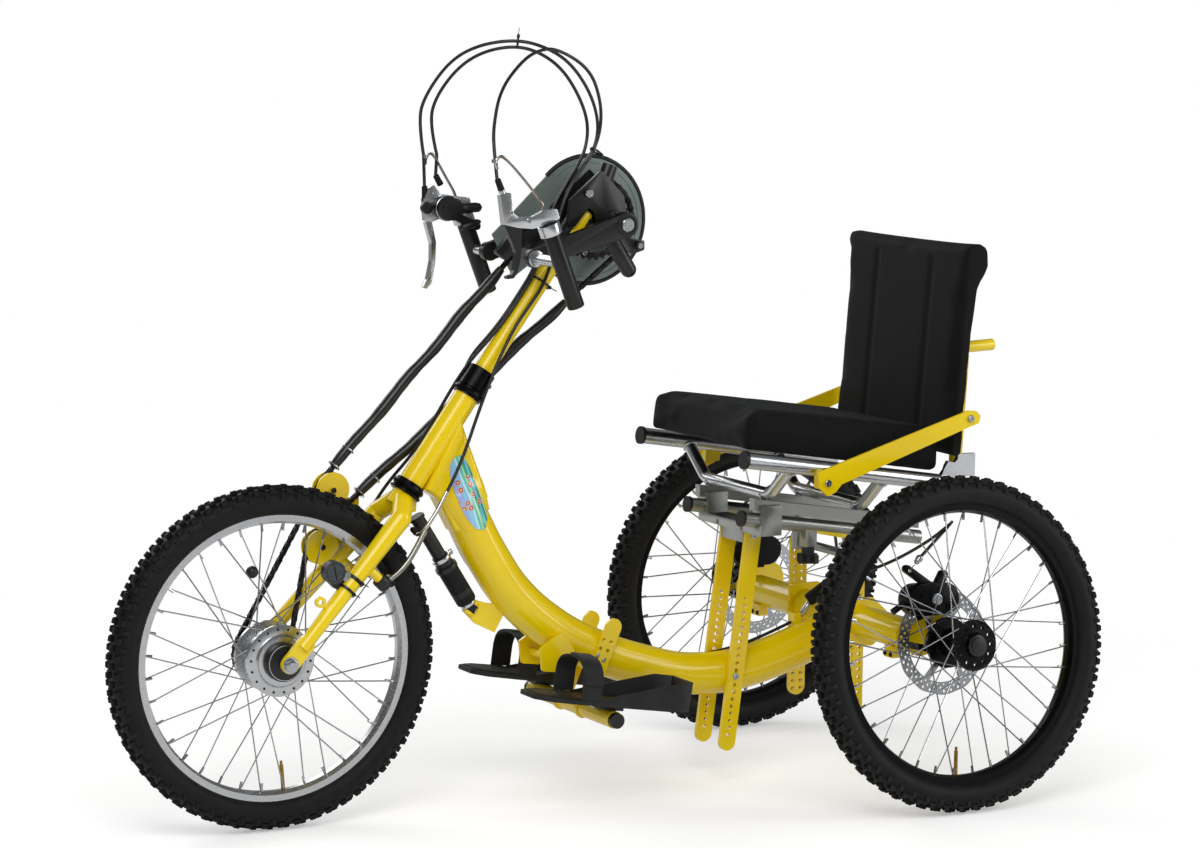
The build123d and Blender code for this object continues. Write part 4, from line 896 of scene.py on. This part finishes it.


# Chain sleeves: slack black tube over both long runs, puckered along its length, each pinched by two bright
# wire rings at its end by the idlers.
def slack_tube(name, first, last, radius, cad=None, count=90):
    """Tube between two (x, z) points, in mm, that sags and bulges unevenly."""
    line, widths = [], []
    for k in range(count):
        t = k / (count - 1)
        drift = 1.8 * sin(18.4 * t)
        line.append(mm(first[0] + (last[0] - first[0]) * t, CHAIN_Y + 0.6 * sin(23 * t),
                       first[1] + (last[1] - first[1]) * t + drift))
        wave = sin(17 * t + radius) + 0.6 * sin(41 * t + 2) + 0.35 * sin(97 * t)
        widths.append((radius + 0.45 * wave) * min(1.0, 0.72 + 6 * min(t, 1 - t)))
    return hosepipe(name, line, 0.001, housing, "fork", widths, 60, cad)


out_run, back_run = tangent(*STOPS[0], *STOPS[1]), tangent(*STOPS[3], *STOPS[0])
for name, (a, b), first, last, cad in (("front", out_run, 374, 103, "chain_sleeves"),
                                       ("rear", back_run, 334, -5, None)):
    ends = [(x, a[1] + (b[1] - a[1]) * (x - a[0]) / (b[0] - a[0])) for x in (first, last)]
    slack_tube(f"chain_sleeve_{name}", *ends, 8.4, cad)
    way = Vector((ends[1][0] - ends[0][0], 0, ends[1][1] - ends[0][1])).normalized()
    for k, gap in enumerate((2, 34)):
        turned(f"wire_ring_{name}_{k}", [(8, -0.9), (9.8, -1.1), (10.3, 0), (9.8, 1.1), (8, 0.9)],
               (Vector((ends[0][0], CHAIN_Y, ends[0][1])) + way * gap) / 1000, way, alloy,
               "fork", 28)


# Handles: black anodised tube grips with rounded ends on steel crank pins. Polished cast brake levers are
# clamped round each, the right one with a twist of shift levers; bent wire guides carry the cables.
# Anodised tube, rubbed smooth: nearly black, with a soft highlight.
grip_skin = substance("smooth black handle tube", "#0F1011", 0.25, 0.34, gloss=(260.0, 3.0, 0.28, 0.44),
                      ior=1.52, specular_ior_level=0.55)
# Polished castings: bright, close to a mirror in places.
polished = substance("polished cast aluminium", "#D3D5D7", 1.0, 0.2, gloss=(70.0, 5.0, 0.14, 0.34))
# Bronzed wire: brown metal, paler where it is rubbed.
wire = substance("bronzed steel wire", "#7C6A5C", 1.0, 0.3, tint=(200.0, 2.0, 0.3, "#66564B", 0.8, "#A08F80"))
LEAN = Vector((38, 0, 97)).normalized()
GRIP_R, GRIP_LONG = 12.6, 131
for side, out in (("left", 1), ("right", -1)):
    turned(f"grip_tube_{side}", [(0, 0), (GRIP_R - 2.2, 0), (GRIP_R - 0.6, 0.7), (GRIP_R, 2.4),
                                 (GRIP_R, GRIP_LONG - 2), (GRIP_R - 1, GRIP_LONG), (0, GRIP_LONG)],
           PIN + mm(0, out * 143, 0) - LEAN * 0.0705, LEAN, grip_skin, f"{side}_handle", 40, 40,
           f"grip_{side}")
dress(polished, "grip_pins")
dress(powder, "lever_blade_left")
eased("lever_body_left", "lever_casting_left", 0.0011, polished, "left_handle")
eased("lever_body_right", "lever_casting_right", 0.0011, alloy, "right_handle")
eased("lever_blade_right", "lever_right", 0.0012, polished, "right_handle")
eased("shifter", "shift_pod", 0.0016, nylon, "right_handle")

for side, y, points in (("left", 143, [(30, 76), (30, 84), (62, 122), (97, 157), (108, 147), (104, 136)]),
                        ("right", -143, [(30, 74), (32, 84), (50, 112), (71, 147), (82, 140), (82, 128)])):
    route = centreline([PIN + mm(dx, y, dz) for dx, dz in points])
    for k, shift in enumerate((-2.4, 2.4)):
        hosepipe(f"cable_guide_{side}_{k}", [p + mm(0, shift, 0) for p in route], 0.0012, wire,
                 f"{side}_handle")
    turned(f"guide_eye_{side}", [(2.6, -2.5), (4.6, -2.5), (4.6, 2.5), (2.6, 2.5)],
           PIN + mm(points[4][0], y, points[4][1]), (-0.1, 0, 1), alloy, f"{side}_handle", 20)
for side, y, spots in (("left", 149.2, ((56, 62), (84, 74))), ("right", -136.8, ((52, 70), (70, 84)))):
    for k, (dx, dz) in enumerate(spots):
        screw(f"lever_screw_{side}_{k}", PIN + mm(dx, y, dz), LEFT, 3.6 - 0.8 * k, f"{side}_handle")

# Shift pod: a ribbed round nylon housing on the right grip, with a bright dial ring and two rounded thumb
# levers.
POD = PIN + mm(53, -137.5, 63)
turned("pod_housing", [(0, 0), (18.2, 0), (18.6, 4), (17.8, 6), (18.6, 8), (18.6, 17), (17.2, 19.6),
                       (12, 20.6), (11.2, 19), (6, 19), (5.2, 20.6), (0, 20.6)],
       POD, LEFT, nylon, "right_handle", 40)
turned("pod_ring", [(18.6, 0), (19.2, 0.4), (19.2, 1.6), (18.6, 2)],
       POD + mm(0, 11, 0), LEFT, alloy, "right_handle", 40)
for k, (dx, dz, tilt) in enumerate(((16, 64, 0), (17, 38, 16))):
    thumb = start("uv_sphere", segments=20, ring_count=12, radius=1, scale=(0.019, 0.0085, 0.0068))
    bpy.ops.object.transform_apply(location=False, rotation=False, scale=True)
    thumb.matrix_world = Matrix.Translation(PIN + mm(dx, -122.5, dz)) @ Matrix.Rotation(radians(tilt), 4, "Y")
    fit(settle(thumb), nylon, "right_handle", f"thumb_lever_{k}")


# Front fork hardware: crown race, drop-out nuts, the axle's black cap and a bevelled flange ring on the hub,
# with its spoke holes round it drawn as raised dark steel discs: painted shade, not holes.
turned("crown_race", [(12.8, 0), (23.5, 0), (25, 1.6), (25, 3.4), (21.5, 6), (12.8, 6)],
       on_axis(-12.4), AXIS, anodised, "fork", 44)
HUB = mm(487, 0, 252)
turned("hub_face", [(26.2, 0), (50.5, 0), (52.4, 1.2), (52.4, 4), (50, 5), (39, 5), (37.2, 6.4), (36, 9),
                    (30, 9.8), (26.2, 9.8)],
       HUB + mm(0, 26.4, 0), LEFT, alloy, "front_wheel", 64)
turned("hub_cap", [(5.6, 0), (28.2, 0), (28.2, 10), (27.2, 13.5), (24, 15), (14, 15.2),
                   (12, 16.2), (5.6, 16.2)],
       HUB + mm(0, 35.5, 0), LEFT, nylon, "front_wheel", 56)
turned("hub_washer", [(5.6, 0), (9.2, 0), (9.2, 2.4), (5.6, 2.4)],
       HUB + mm(0, 51.8, 0), LEFT, stainless, "front_wheel", 28)
for side, out in (("left", 1), ("right", -1)):
    nut = start("cylinder", vertices=6, radius=0.0098, depth=0.0072, rotation=ACROSS,
                location=HUB + mm(0, out * 71, 0))
    apply(nut, "BEVEL", width=0.0008, segments=2)
    fit(settle(nut, 30), stainless, "fork", f"axle_nut_{side}")
    turned(f"axle_washer_{side}", [(5.2, 0), (12.2, 0), (12.2, 1.3), (5.2, 1.3)],
           HUB + mm(0, out * 67.2, 0), LEFT * out, stainless, "fork", 32)
# Dark steel discs on the flange face where the spoke holes are: painted shade of the holes.
turns = [radians(20 * k + 4) for k in range(18)]
hole_shade_discs = [drum(10, 0.0019, 0.0012, HUB + mm(46.2 * cos(a), 31.3, 46.2 * sin(a))) for a in turns]
fit(join("spoke_hole_shades", *hole_shade_discs), dark_steel, "front_wheel")


# Rear hubs: black anodised shells drilled between the spoke holes, each closed by a stepped black cap over
# the stub axle.
hub_shell = merged_copy("hub_left", "hub_shell_left")
hub_shell.data.transform(WHEELS["left"].inverted())
turns = [2 * pi * k / 12 for k in range(12)]
cut_out(hub_shell, *(drum(14, 0.0030, 0.012, mm(28.5 * cos(a), 40.5, 28.5 * sin(a)), 0) for a in turns))
settle(hub_shell, 35).data.materials.append(anodised)
for side in ("left", "right"):
    fit(copy(hub_shell, f"hub_drilled_{side}", WHEELS[side]), None, BODY[side],
        cad=f"hub_{side}")
    turned(f"hub_end_{side}", [(0, 0), (15.8, 0), (16, 1.6), (12.8, 3), (12.4, 4.8), (6, 5.6), (0, 5.6)],
           WHEELS[side] @ mm(0, 49.7, 0), WHEELS[side].to_3x3() @ LEFT, powder, BODY[side], 40)
bpy.data.objects.remove(hub_shell)


# Disc calipers: forged black bodies over the discs, with the round pad adjuster in bright metal, mounting
# bolts and a cable anchor on the arm.
def on_caliper(x, y, z, out):
    """Point on a caliper, in mm from its wheel's middle, mirrored for the right side."""
    spot = WHEELS["left"] @ mm(x, y, z)
    return Vector((spot.x, out * spot.y, spot.z))


eased("brake_calipers", "caliper_bodies", 0.0016, anodised, "frame")
for side, out in (("left", 1), ("right", -1)):
    outward = on_caliper(0, 1000, 0, out) - on_caliper(0, 0, 0, out)
    turned(f"pad_adjuster_{side}", [(4, 0), (8.8, 0), (9.2, 1.2), (8.4, 2.4), (6.6, 2.8), (5.8, 1.6),
                                    (3.6, 1.6), (3, 2.6), (0, 2.6), (0, 0)],
           on_caliper(14, -33.2, 66, out), outward, stainless, "frame", 36)
    for k, (x, z) in enumerate(((38, 74), (-6, 54))):
        turned(f"caliper_bolt_{side}_{k}", [(0, 0), (3.6, 0), (3.6, 2.6), (3, 3.2), (1.8, 3.2),
                                            (1.6, 1.4), (0, 1.4)],
               on_caliper(x, -33.2, z, out), outward, anodised, "frame", 18)
    turned(f"cable_anchor_{side}", [(0, 0), (3, 0), (3, 3), (2.2, 3.6), (0, 3.6)],
           on_caliper(51, -50.2, 110, out), outward, stainless, "frame", 16)
    turned(f"cable_stop_{side}", [(1.2, 0), (5.2, 0), (5.6, 3), (5.2, 6), (4.2, 8), (4.2, 11),
                                  (2.8, 13), (1.2, 13)],
           mm(-446, out * 269.4, 377.6), (14, out * 2.6, -12.6), stainless, "frame", 24)
    hosepipe(f"bare_cable_{side}", [mm(-434, out * 271.6, 366.8), on_caliper(51, -51, 108.5, out)], 0.0008,
             stainless, "frame")


# Seat rails: polished aluminium tube, the upper pair carried by two bent cross tubes, the lower pair
# sliding in drilled blocks, all welded with a rippled bead.
# Extruded aluminium: warm grey with a broad, soft highlight.
satin_alloy = substance("satin extruded aluminium", "#A9ABA6", 1.0, 0.32, gloss=(130.0, 4.0, 0.24, 0.44))
dress(polished, "seat_frame")
dress(satin_alloy, "seat_slide")
dress(nylon, "end_caps", "slide_knob")
eased("seat_carriers", "carrier_blocks", 0.0010, satin_alloy, "frame")


def weld(name, at, along, r, bead):
    """Rippled bead round a tube end."""
    ring = start("torus", major_segments=48, minor_segments=8, major_radius=r, minor_radius=bead)
    for vertex in ring.data.vertices:
        ripple = 1 + 0.035 * sin(17 * atan2(vertex.co.y, vertex.co.x))
        vertex.co = Vector((vertex.co.x * ripple, vertex.co.y * ripple, vertex.co.z))
    ring.matrix_world = aimed(at, along)
    return fit(settle(ring, 60), polished, "frame", name)


for x, floor_at in ((-286, 458.2), (-450, 433.6)):
    for out in (1, -1):
        corner = Vector((x, out * 160, 523 + SLOPE * (x + 201)))
        run = (Vector((x, out * 98, floor_at)) - corner).normalized()
        weld(f"cross_weld_{-x}_{out}", (corner + run * 12.6) / 1000, run, 0.0100, 0.0019)
        weld(f"floor_weld_{-x}_{out}", mm(x, out * 82, floor_at - 3), LEFT, 0.0098, 0.0018)

# Bolts of the seat arms, the bars, the sleeve's clamp and the footrest: place and radius in mm. The
# yellow stop strip lies under the lower rail, along its slope.
for k, (x, y, z, r) in enumerate((
        (-333, 186, 484, 5.4), (-587, 186, 570, 5.4), (-333, -186, 484, 5.4), (-587, -186, 570, 5.4),
        (-292, 40.2, 388, 5.8), (-292, -40.2, 388, 5.8), (-264, 40.2, 170, 4.8), (-264, -40.2, 170, 4.8),
        (-456, 40.2, 262, 3.6), (-442, 40.2, 262, 3.6), (-456, 40.2, 238, 3.6), (-442, 40.2, 238, 3.6),
        (-449, 40.2, 350, 5.2), (-449, -40.2, 350, 5.2), (-35, 38.2, 213, 3.0), (-25, 38.2, 222, 3.0),
        (-35, -38.2, 213, 3.0), (-28, 38.2, 196, 3.0))):
    screw(f"frame_bolt_{k}", mm(x, y, z), LEFT if y > 0 else -LEFT, r, "frame", deep=0.55)
for out in (1, -1):
    for k, y in enumerate((190, 206)):
        screw(f"sleeve_screw_{out}_{k}", mm(-438.8, out * y, 219), (1, 0, 0), 3.4, "frame", dark_steel, 0.8)
STOP_LEAN = -0.203
stop_at = Matrix.Translation(mm(-410.5, 88, 388)) @ Matrix.Rotation(STOP_LEAN, 4, "Y")
fit(brick((0.074, 0.006, 0.007), stop_at, 0.0008, 2), enamel, "frame", "slide_stop")


# Footrests: moulded black plates with a raised heel cup and a worn toe pad, screwed down through both to
# nuts underneath.
def pebbled(name, colour, roughness, tint, size, strength, depth):
    """Moulded rubber or plastic with a leathery cell pattern in relief."""
    material = substance(name, colour, 0.0, roughness, tint=tint, ior=1.5)
    where = add(material, "ShaderNodeTexCoord")
    cells = add(material, "ShaderNodeTexVoronoi", None, {"Vector": where.outputs["Object"], "Scale": size})
    relief = add(material, "ShaderNodeBump", None,
                 {"Height": cells.outputs["Distance"], "Strength": strength, "Distance": depth})
    join_to(material, "Normal", relief.outputs["Normal"])
    return material


# Moulded plastic: black with leathery cells under 2 mm wide; the toe pads are rubbed brown.
sole = pebbled("pebbled black moulding", "#141516", 0.5, (30.0, 5.0, 0.35, "#090A0B", 0.78, "#191C1D"),
               600.0, 0.25, 0.0004)
pad_skin = pebbled("rubbed toe pad", "#1C1A14", 0.55, (24.0, 5.0, 0.3, "#121210", 0.8, "#3A3729"),
                   420.0, 0.4, 0.0005)
eased("foot_plates", "foot_mouldings", 0.0014, sole, "frame")
FOOT_PLACE = {out: Matrix.Translation(mm(-4, out * 105, 163)) @ Matrix.Rotation(radians(-9), 4, "Y")
              for out in (1, -1)}
PAD_EDGE = ((50, 39), (62, 40), (108, 35), (127, 20), (127, -20), (108, -35), (62, -40), (50, -39))
for out, place in FOOT_PLACE.items():
    pad = start("circle", vertices=len(PAD_EDGE), radius=0.03, fill_type="NGON")
    for vertex, (x, y) in zip(pad.data.vertices, PAD_EDGE):
        vertex.co = mm(x, y, 6.9)
    select(pad)
    pull((0, 0, 0.0016))
    close_up()
    apply(pad, "BEVEL", width=0.0007, segments=2, limit_method="ANGLE")
    settle(pad, 30).data.transform(place)
    fit(pad, pad_skin, "frame", f"toe_pad_{out}")
    up = place.to_3x3() @ Vector((0, 0, 1))
    for k, (x, z) in enumerate(((88, 8.4), (-78, 6.9), (8, 6.9))):
        screw(f"foot_screw_{out}_{k}", place @ mm(x, 0, z), up, 3.4, "frame", deep=0.4)
    for k, x in enumerate((88, -78)):
        screw(f"foot_nut_{out}_{k}", place @ mm(x, 0, 0.1), -up, 4.8, "frame", deep=0.9)


# Foot straps: 33 mm woven nylon webbing arched over the instep, fixed at both edges of the plate, one end
# folded back on its hook-and-loop tab.
# Woven nylon: dull black, its ribs about 2 mm apart and catching a faint sheen.
webbing = substance("black nylon webbing", "#131416", 0.0, 0.72,
                    tint=(60.0, 4.0, 0.3, "#0D0E0F", 0.75, "#1D1F22"),
                    sheen_weight=0.15, sheen_roughness=0.4)
where = add(webbing, "ShaderNodeTexCoord")
warp, weft = (add(webbing, "ShaderNodeTexWave", {"wave_type": "BANDS", "bands_direction": way},
                  {"Vector": where.outputs["Object"], "Scale": scale, "Distortion": 0.6})
              for way, scale in (("X", 190.0), ("Y", 150.0)))
plait = add(webbing, "ShaderNodeMath", {"operation": "ADD"}, {0: warp.outputs["Fac"], 1: weft.outputs["Fac"]})
ribs = add(webbing, "ShaderNodeBump", None, {"Height": plait.outputs[0], "Strength": 0.4, "Distance": 0.0005})
join_to(webbing, "Normal", ribs.outputs["Normal"])


def strap(name, points, x0, x1, place, cad=None):
    """Band through (y, z) points, from x0 to x1, all in mm, with a soft crease across it."""
    line = centreline([mm(0, y, z) for y, z in points])
    steps = len(line) - 1
    piece = start("grid", x_subdivisions=8, y_subdivisions=steps, size=1)
    for vertex in piece.data.vertices:
        across, k = vertex.co.x + 0.5, min(round((vertex.co.y + 0.5) * steps), steps)
        swing = sin(pi * k / steps)
        cup = 0.0012 * (1 - (2 * across - 1) ** 2) * swing
        vertex.co = Vector(((x0 + (x1 - x0) * across) / 1000 + 0.0022 * swing, line[k].y, line[k].z + cup))
    apply(piece, "SOLIDIFY", thickness=0.0018, offset=0)
    settle(piece, 50).data.transform(place)
    return fit(piece, webbing, "frame", name, cad)


for out, place in FOOT_PLACE.items():
    half_arch = [(44.6, 7.6), (45.2, 30), (44, 46), (34, 60), (12, 66.4)]
    arch = [(-out * y, z) for y, z in half_arch] + [(out * y, z) for y, z in reversed(half_arch)]
    strap(f"foot_strap_{out}", arch, 34.5, 67.5, place, "foot_straps" if out == 1 else None)
    tab = [(out * y, z) for y, z in ((-10, 68.6), (12, 68.7), (34, 62.6), (46.4, 47), (47.6, 30))]
    strap(f"strap_tab_{out}", tab, 35.5, 66.5, place)


# Centring strut: two telescoping rubber-sleeved tubes from the fork's lug to the frame's tab, clamped by
# bright bands.
LUG, TAB = on_axis(-24, -22), mm(170, 0, 302)
dress(edging, "centring_strut")
along = (TAB - LUG).normalized()
for k, (at, r, wide, material, slot) in enumerate((
        (89, 14, 6, polished, "silver"), (104.5, 15.9, 7.5, nylon, "plastic"),
        (171.5, 11.2, 6, polished, "silver"), (16, 11.2, 4, nylon, "plastic"))):
    turned(f"strut_clamp_{k}", [(r - 1.2, 0), (r + 0.8, 0), (r + 1.2, 1), (r + 1.2, wide - 1),
                                (r + 0.8, wide), (r - 1.2, wide)],
           LUG + along * at / 1000, along, material, "centring_spring", 40)
turned("strut_sleeve", [(14.4, 0), (15.2, 1.2), (15.5, 4), (15.5, 60), (15, 63.5), (13.2, 65),
                        (12.8, 65), (12.8, 0)],
       LUG + along * 0.1075, along, rubber, "centring_spring", 40)
below = along.cross(LEFT).normalized()
screw("strut_screw", LUG + along * 0.092 - below * 0.0145, LEFT * 0.4 - below, 4.2,
      "centring_spring", deep=1.4)
for x, y, z, body in ((170, 3.4, 302, "frame"), (262, 4.4, 470, "fork")):
    screw(f"strut_pin_{x}", mm(x, y, z), LEFT, 4.6, body, deep=0.7)


# Rim brake: a black pivot on each fork boss, a forged arm up to the bent steel cable pipe, and a moulded
# brake block beside the rim.
KNEE, BLADE_DIR = mm(303, 0, 449), Vector((165, 0, -175)).normalized()
BLADE_BACK = Vector((BLADE_DIR.z, 0, -BLADE_DIR.x))
SPREAD, BLADE_R, BLADE_TAPER = 23 / hypot(165, 175), 16.1, 0.0208


def on_blade(down, behind, y):
    """Point down the fork blade from its knee and behind it, in mm."""
    return KNEE + (BLADE_DIR * down + BLADE_BACK * behind + Vector((0, y, 0))) / 1000


radial = (on_blade(70, 45, 0) - HUB).normalized()
rim_turn = Matrix((radial.cross(LEFT), LEFT, radial)).transposed().to_4x4()
for out in (1, -1):
    bend = [on_blade(down, behind, out * y)
            for down, behind, y in ((86, 43, 46), (66, 50, 45), (40, 52, 43), (14, 49, 40))]
    hosepipe(f"brake_arm_{out}", centreline(bend + [mm(263, out * 38, 428)]), 0.0042, satin_alloy, "fork",
             cad="rim_brake" if out == 1 else None)
    turned(f"brake_pivot_{out}", [(0, 0), (10.6, 0), (11.2, 2), (11.2, 16), (10, 18), (6, 18.6),
                                  (5.6, 17.2), (0, 17.2)],
           on_blade(88, 30.4, out * 47), BLADE_BACK, nylon, "fork", 32)
    turned(f"pivot_bolt_{out}", [(0, 0), (4.8, 0), (4.8, 3), (4, 3.6), (2.4, 3.6), (2.2, 1.8), (0, 1.8)],
           on_blade(88, 47.8, out * 47), BLADE_BACK, stainless, "fork", 20)
    shoe_at = Matrix.Translation(HUB + radial * 0.2035 + mm(0, out * 22.2, 0)) @ rim_turn
    fit(brick((0.046, 0.0085, 0.0108), shoe_at, 0.0024, 3, 40), rubber, "fork",
        f"brake_block_{out}")
    hosepipe(f"block_stem_{out}", [on_blade(70, 46, out * 26), on_blade(70, 48, out * 43)], 0.0034, stainless,
             "fork")
bend = ((226.5, 34, 483), (240, 37, 461), (252, 38.4, 445), (263, 39, 431), (268, 36, 424), (270, 26, 421))
hosepipe("brake_pipe", centreline([mm(*p) for p in bend]), 0.0030, polished, "fork")
hosepipe("brake_link_cable", [mm(270, 27, 421), mm(266, 0, 428), mm(263, -38, 428)], 0.0008, stainless,
         "fork")
pleats = [(4.2 if k % 2 else 3, 1.2 + 1.6 * k) for k in range(12)]
turned("brake_bellows", [(1.2, 0)] + pleats + [(1.2, 22)], mm(269.5, 22, 422), (-4.5, -32, 6), rubber, "fork",
       20)


# Wheel sensor on the left fork blade: a round grey housing with a coin slot drawn as a raised black bar of
# painted shade, a black bracket held by two ties, and its magnet ball on a front spoke.
dress(nylon, "wheel_sensor")
# Moulded plastic: dull charcoal, finely speckled.
sensor_grey = substance("charcoal moulded plastic", "#3A3E42", 0.0, 0.45,
                        tint=(300.0, 3.0, 0.3, "#2E3235", 0.75, "#45494D"), ior=1.5)
turned("sensor_lid", [(0, 0), (16.2, 0), (16.6, 1), (16.6, 3), (15.6, 4), (14, 4), (13.4, 3),
                      (12.8, 4), (0, 4)],
       mm(415.5, 58, 380), LEFT, sensor_grey, "fork", 56)
# The coin slot: a thin black bar standing on the lid, painted shade where the groove would be.
slot_shade_at = Matrix.Translation(mm(415.5, 62.1, 380)) @ Matrix.Rotation(radians(12), 4, "Y")
fit(brick((0.0016, 0.0008, 0.021), slot_shade_at), rubber, "fork", "coin_slot_shade")
turned("sensor_foot", [(0, 0), (7.4, 0), (7.8, 1.5), (7, 3.2), (3, 3.4), (2.8, 2.2), (0, 2.2)],
       mm(396, 56.2, 372), LEFT, satin_alloy, "fork", 28)
for k, down in enumerate((114, 134)):
    zip_tie(f"blade_tie_{k}", on_blade(down, 0, 41 + SPREAD * down), (BLADE_DIR.x, SPREAD, BLADE_DIR.z),
            BLADE_R - down * BLADE_TAPER, "fork", (-0.35, 0.75, -0.25))
magnet = start("uv_sphere", segments=28, ring_count=16, radius=0.009, location=mm(520.6, 5, 379.5))
fit(settle(magnet), nylon, "front_wheel", "spoke_magnet")
for k, (x, z) in enumerate(((378, 485), (395, 402))):
    screw(f"idler_bolt_{k}", mm(x, -31, z), LEFT, 4.2, "fork", dark_steel, 0.5)


# Decal: printed vinyl on the main tube's left flank, striped sky blue and sea green with scattered rings,
# clear coated and laid to the tube's curve. Enamelled fairings under it carry the tube into its gusset.
# Vinyl: flat bright inks under a wet-looking clear coat.
vinyl = substance("printed vinyl", "#9CC7DE", 0.0, 0.22, coat_weight=0.6, coat_roughness=0.08)
where = add(vinyl, "ShaderNodeTexCoord")
over, down = (add(vinyl, "ShaderNodeVectorMath", {"operation": "DOT_PRODUCT"},
                  {0: where.outputs["Object"], 1: way}) for way in ((-0.95, 0.0, 0.313), (0.313, 0.0, 0.95)))
span = add(vinyl, "ShaderNodeMapRange", None, {"Value": over.outputs["Value"], "From Min": -0.049,
                                               "From Max": -0.005})
bands = add(vinyl, "ShaderNodeValToRGB", {"stops": [
    (0.0, "#9DB4E4"), (0.2, "#8CCBE8"), (0.36, "#BFE6EE"), (0.44, "#5CC6B4"), (0.52, "#B9DFA0"),
    (0.58, "#2FA98C"), (0.68, "#74C6D8"), (0.76, "#1F8F6E"), (0.84, "#CFE8B8"), (0.9, "#3BA78F")]},
            {"Fac": span.outputs[0]})
flat = add(vinyl, "ShaderNodeCombineXYZ", None, {"X": over.outputs["Value"], "Y": down.outputs["Value"]})
spots = add(vinyl, "ShaderNodeTexVoronoi", {"voronoi_dimensions": "2D"},
            {"Vector": flat.outputs[0], "Scale": 72.0, "Randomness": 0.8})
rings = add(vinyl, "ShaderNodeValToRGB", {"stops": [
    (0.0, "#E9D23C"), (0.13, "#23407A"), (0.18, "#D8437E"), (0.28, "#F3EEDC"), (0.33, "#274A52")]},
    {"Fac": spots.outputs["Distance"]})
for stripes in (bands, rings):
    stripes.color_ramp.interpolation = "CONSTANT"
inside = add(vinyl, "ShaderNodeMath", {"operation": "LESS_THAN"}, {0: spots.outputs["Distance"], 1: 0.36})
middle = add(vinyl, "ShaderNodeVectorMath", {"operation": "DISTANCE"},
             {0: flat.outputs[0], 1: (-0.029, 0.513, 0.0)})
near = add(vinyl, "ShaderNodeMath", {"operation": "LESS_THAN"}, {0: middle.outputs["Value"], 1: 0.026})
both = add(vinyl, "ShaderNodeMath", {"operation": "MULTIPLY"}, {0: inside.outputs[0], 1: near.outputs[0]})
printed = add(vinyl, "ShaderNodeMix", {"data_type": "RGBA"},
              {0: both.outputs[0], 6: bands.outputs["Color"], 7: rings.outputs["Color"]})
join_to(vinyl, "Base Color", printed.outputs[2])


ABOVE, MOST_FILL, SWEEPS = 0.1, 0.014, 500


def laid_on(front, rear, columns, rows, facing, lift, sunk, *under):
    """A sheet pulled over the given pieces between two edges, bridging any step as filler would.

    Each point drops onto the pieces from ABOVE, then is smoothed among its neighbours, up to MOST_FILL."""
    front, rear = centreline([mm(*p) for p in front]), centreline([mm(*p) for p in rear])
    facing = Vector(facing).normalized()
    spots, heights = {}, {}
    for i in range(columns + 1):
        for k in range(rows + 1):
            ends = [edge[round(k * (len(edge) - 1) / rows)] for edge in (front, rear)]
            spots[i, k] = spot = ends[0].lerp(ends[1], i / columns)
            found = []
            for piece in under:
                hit, top = piece.ray_cast(piece.matrix_world.inverted() @ (spot + facing * ABOVE), -facing)[:2]
                if hit:
                    found.append((piece.matrix_world @ top - spot).dot(facing))
            heights[i, k] = max(found, default=0.0)
    tight = dict(heights)
    for sweep in range(SWEEPS):
        for i in range(1, columns):
            for k in range(1, rows):
                around = (tight[i - 1, k] + tight[i + 1, k] + tight[i, k - 1] + tight[i, k + 1]) / 4
                tight[i, k] = max(heights[i, k], min(around, heights[i, k] + MOST_FILL))
    sheet = start("grid", x_subdivisions=columns, y_subdivisions=rows, size=1)
    for vertex in sheet.data.vertices:
        i, k = round((vertex.co.x + 0.5) * columns), round((vertex.co.y + 0.5) * rows)
        rim = i in (0, columns) or k in (0, rows)
        vertex.co = spots[i, k] + facing * (tight[i, k] - (sunk if rim else -lift))
    apply(sheet, "SOLIDIFY", thickness=0.0002, offset=1)
    return settle(sheet, 60)


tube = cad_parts["main_frame"]
FAIRING_FRONT = ((236, 510), (234, 492), (229, 472), (217, 452), (205, 434), (192, 418))
FAIRING_REAR = ((172, 522), (163, 502), (155, 484), (151, 466), (146, 446), (137, 428))
fairings = []
for side in (1, -1):
    sheet = laid_on([(x, side * 27, z) for x, z in FAIRING_FRONT],
                    [(x, side * 15, z) for x, z in FAIRING_REAR], 30, 44, (0, side, 0), 0.0006, 0.0006, tube)
    fairings.append(fit(sheet, enamel, "frame", f"gusset_fairing_{side}"))
DECAL_FRONT = ((207, 534), (217, 527), (219, 508), (212, 484), (201, 458), (190, 438), (176, 424))
DECAL_REAR = ((196, 533), (186, 525), (176, 504), (165, 479), (156, 458), (149, 437), (156, 419))
sheet = laid_on([(x, 27, z) for x, z in DECAL_FRONT], [(x, 15, z) for x, z in DECAL_REAR],
                16, 48, (0.40, 0.90, 0.17), 0.0007, -0.0007, tube, fairings[0])
fit(sheet, vinyl, "frame", "tube_decal")
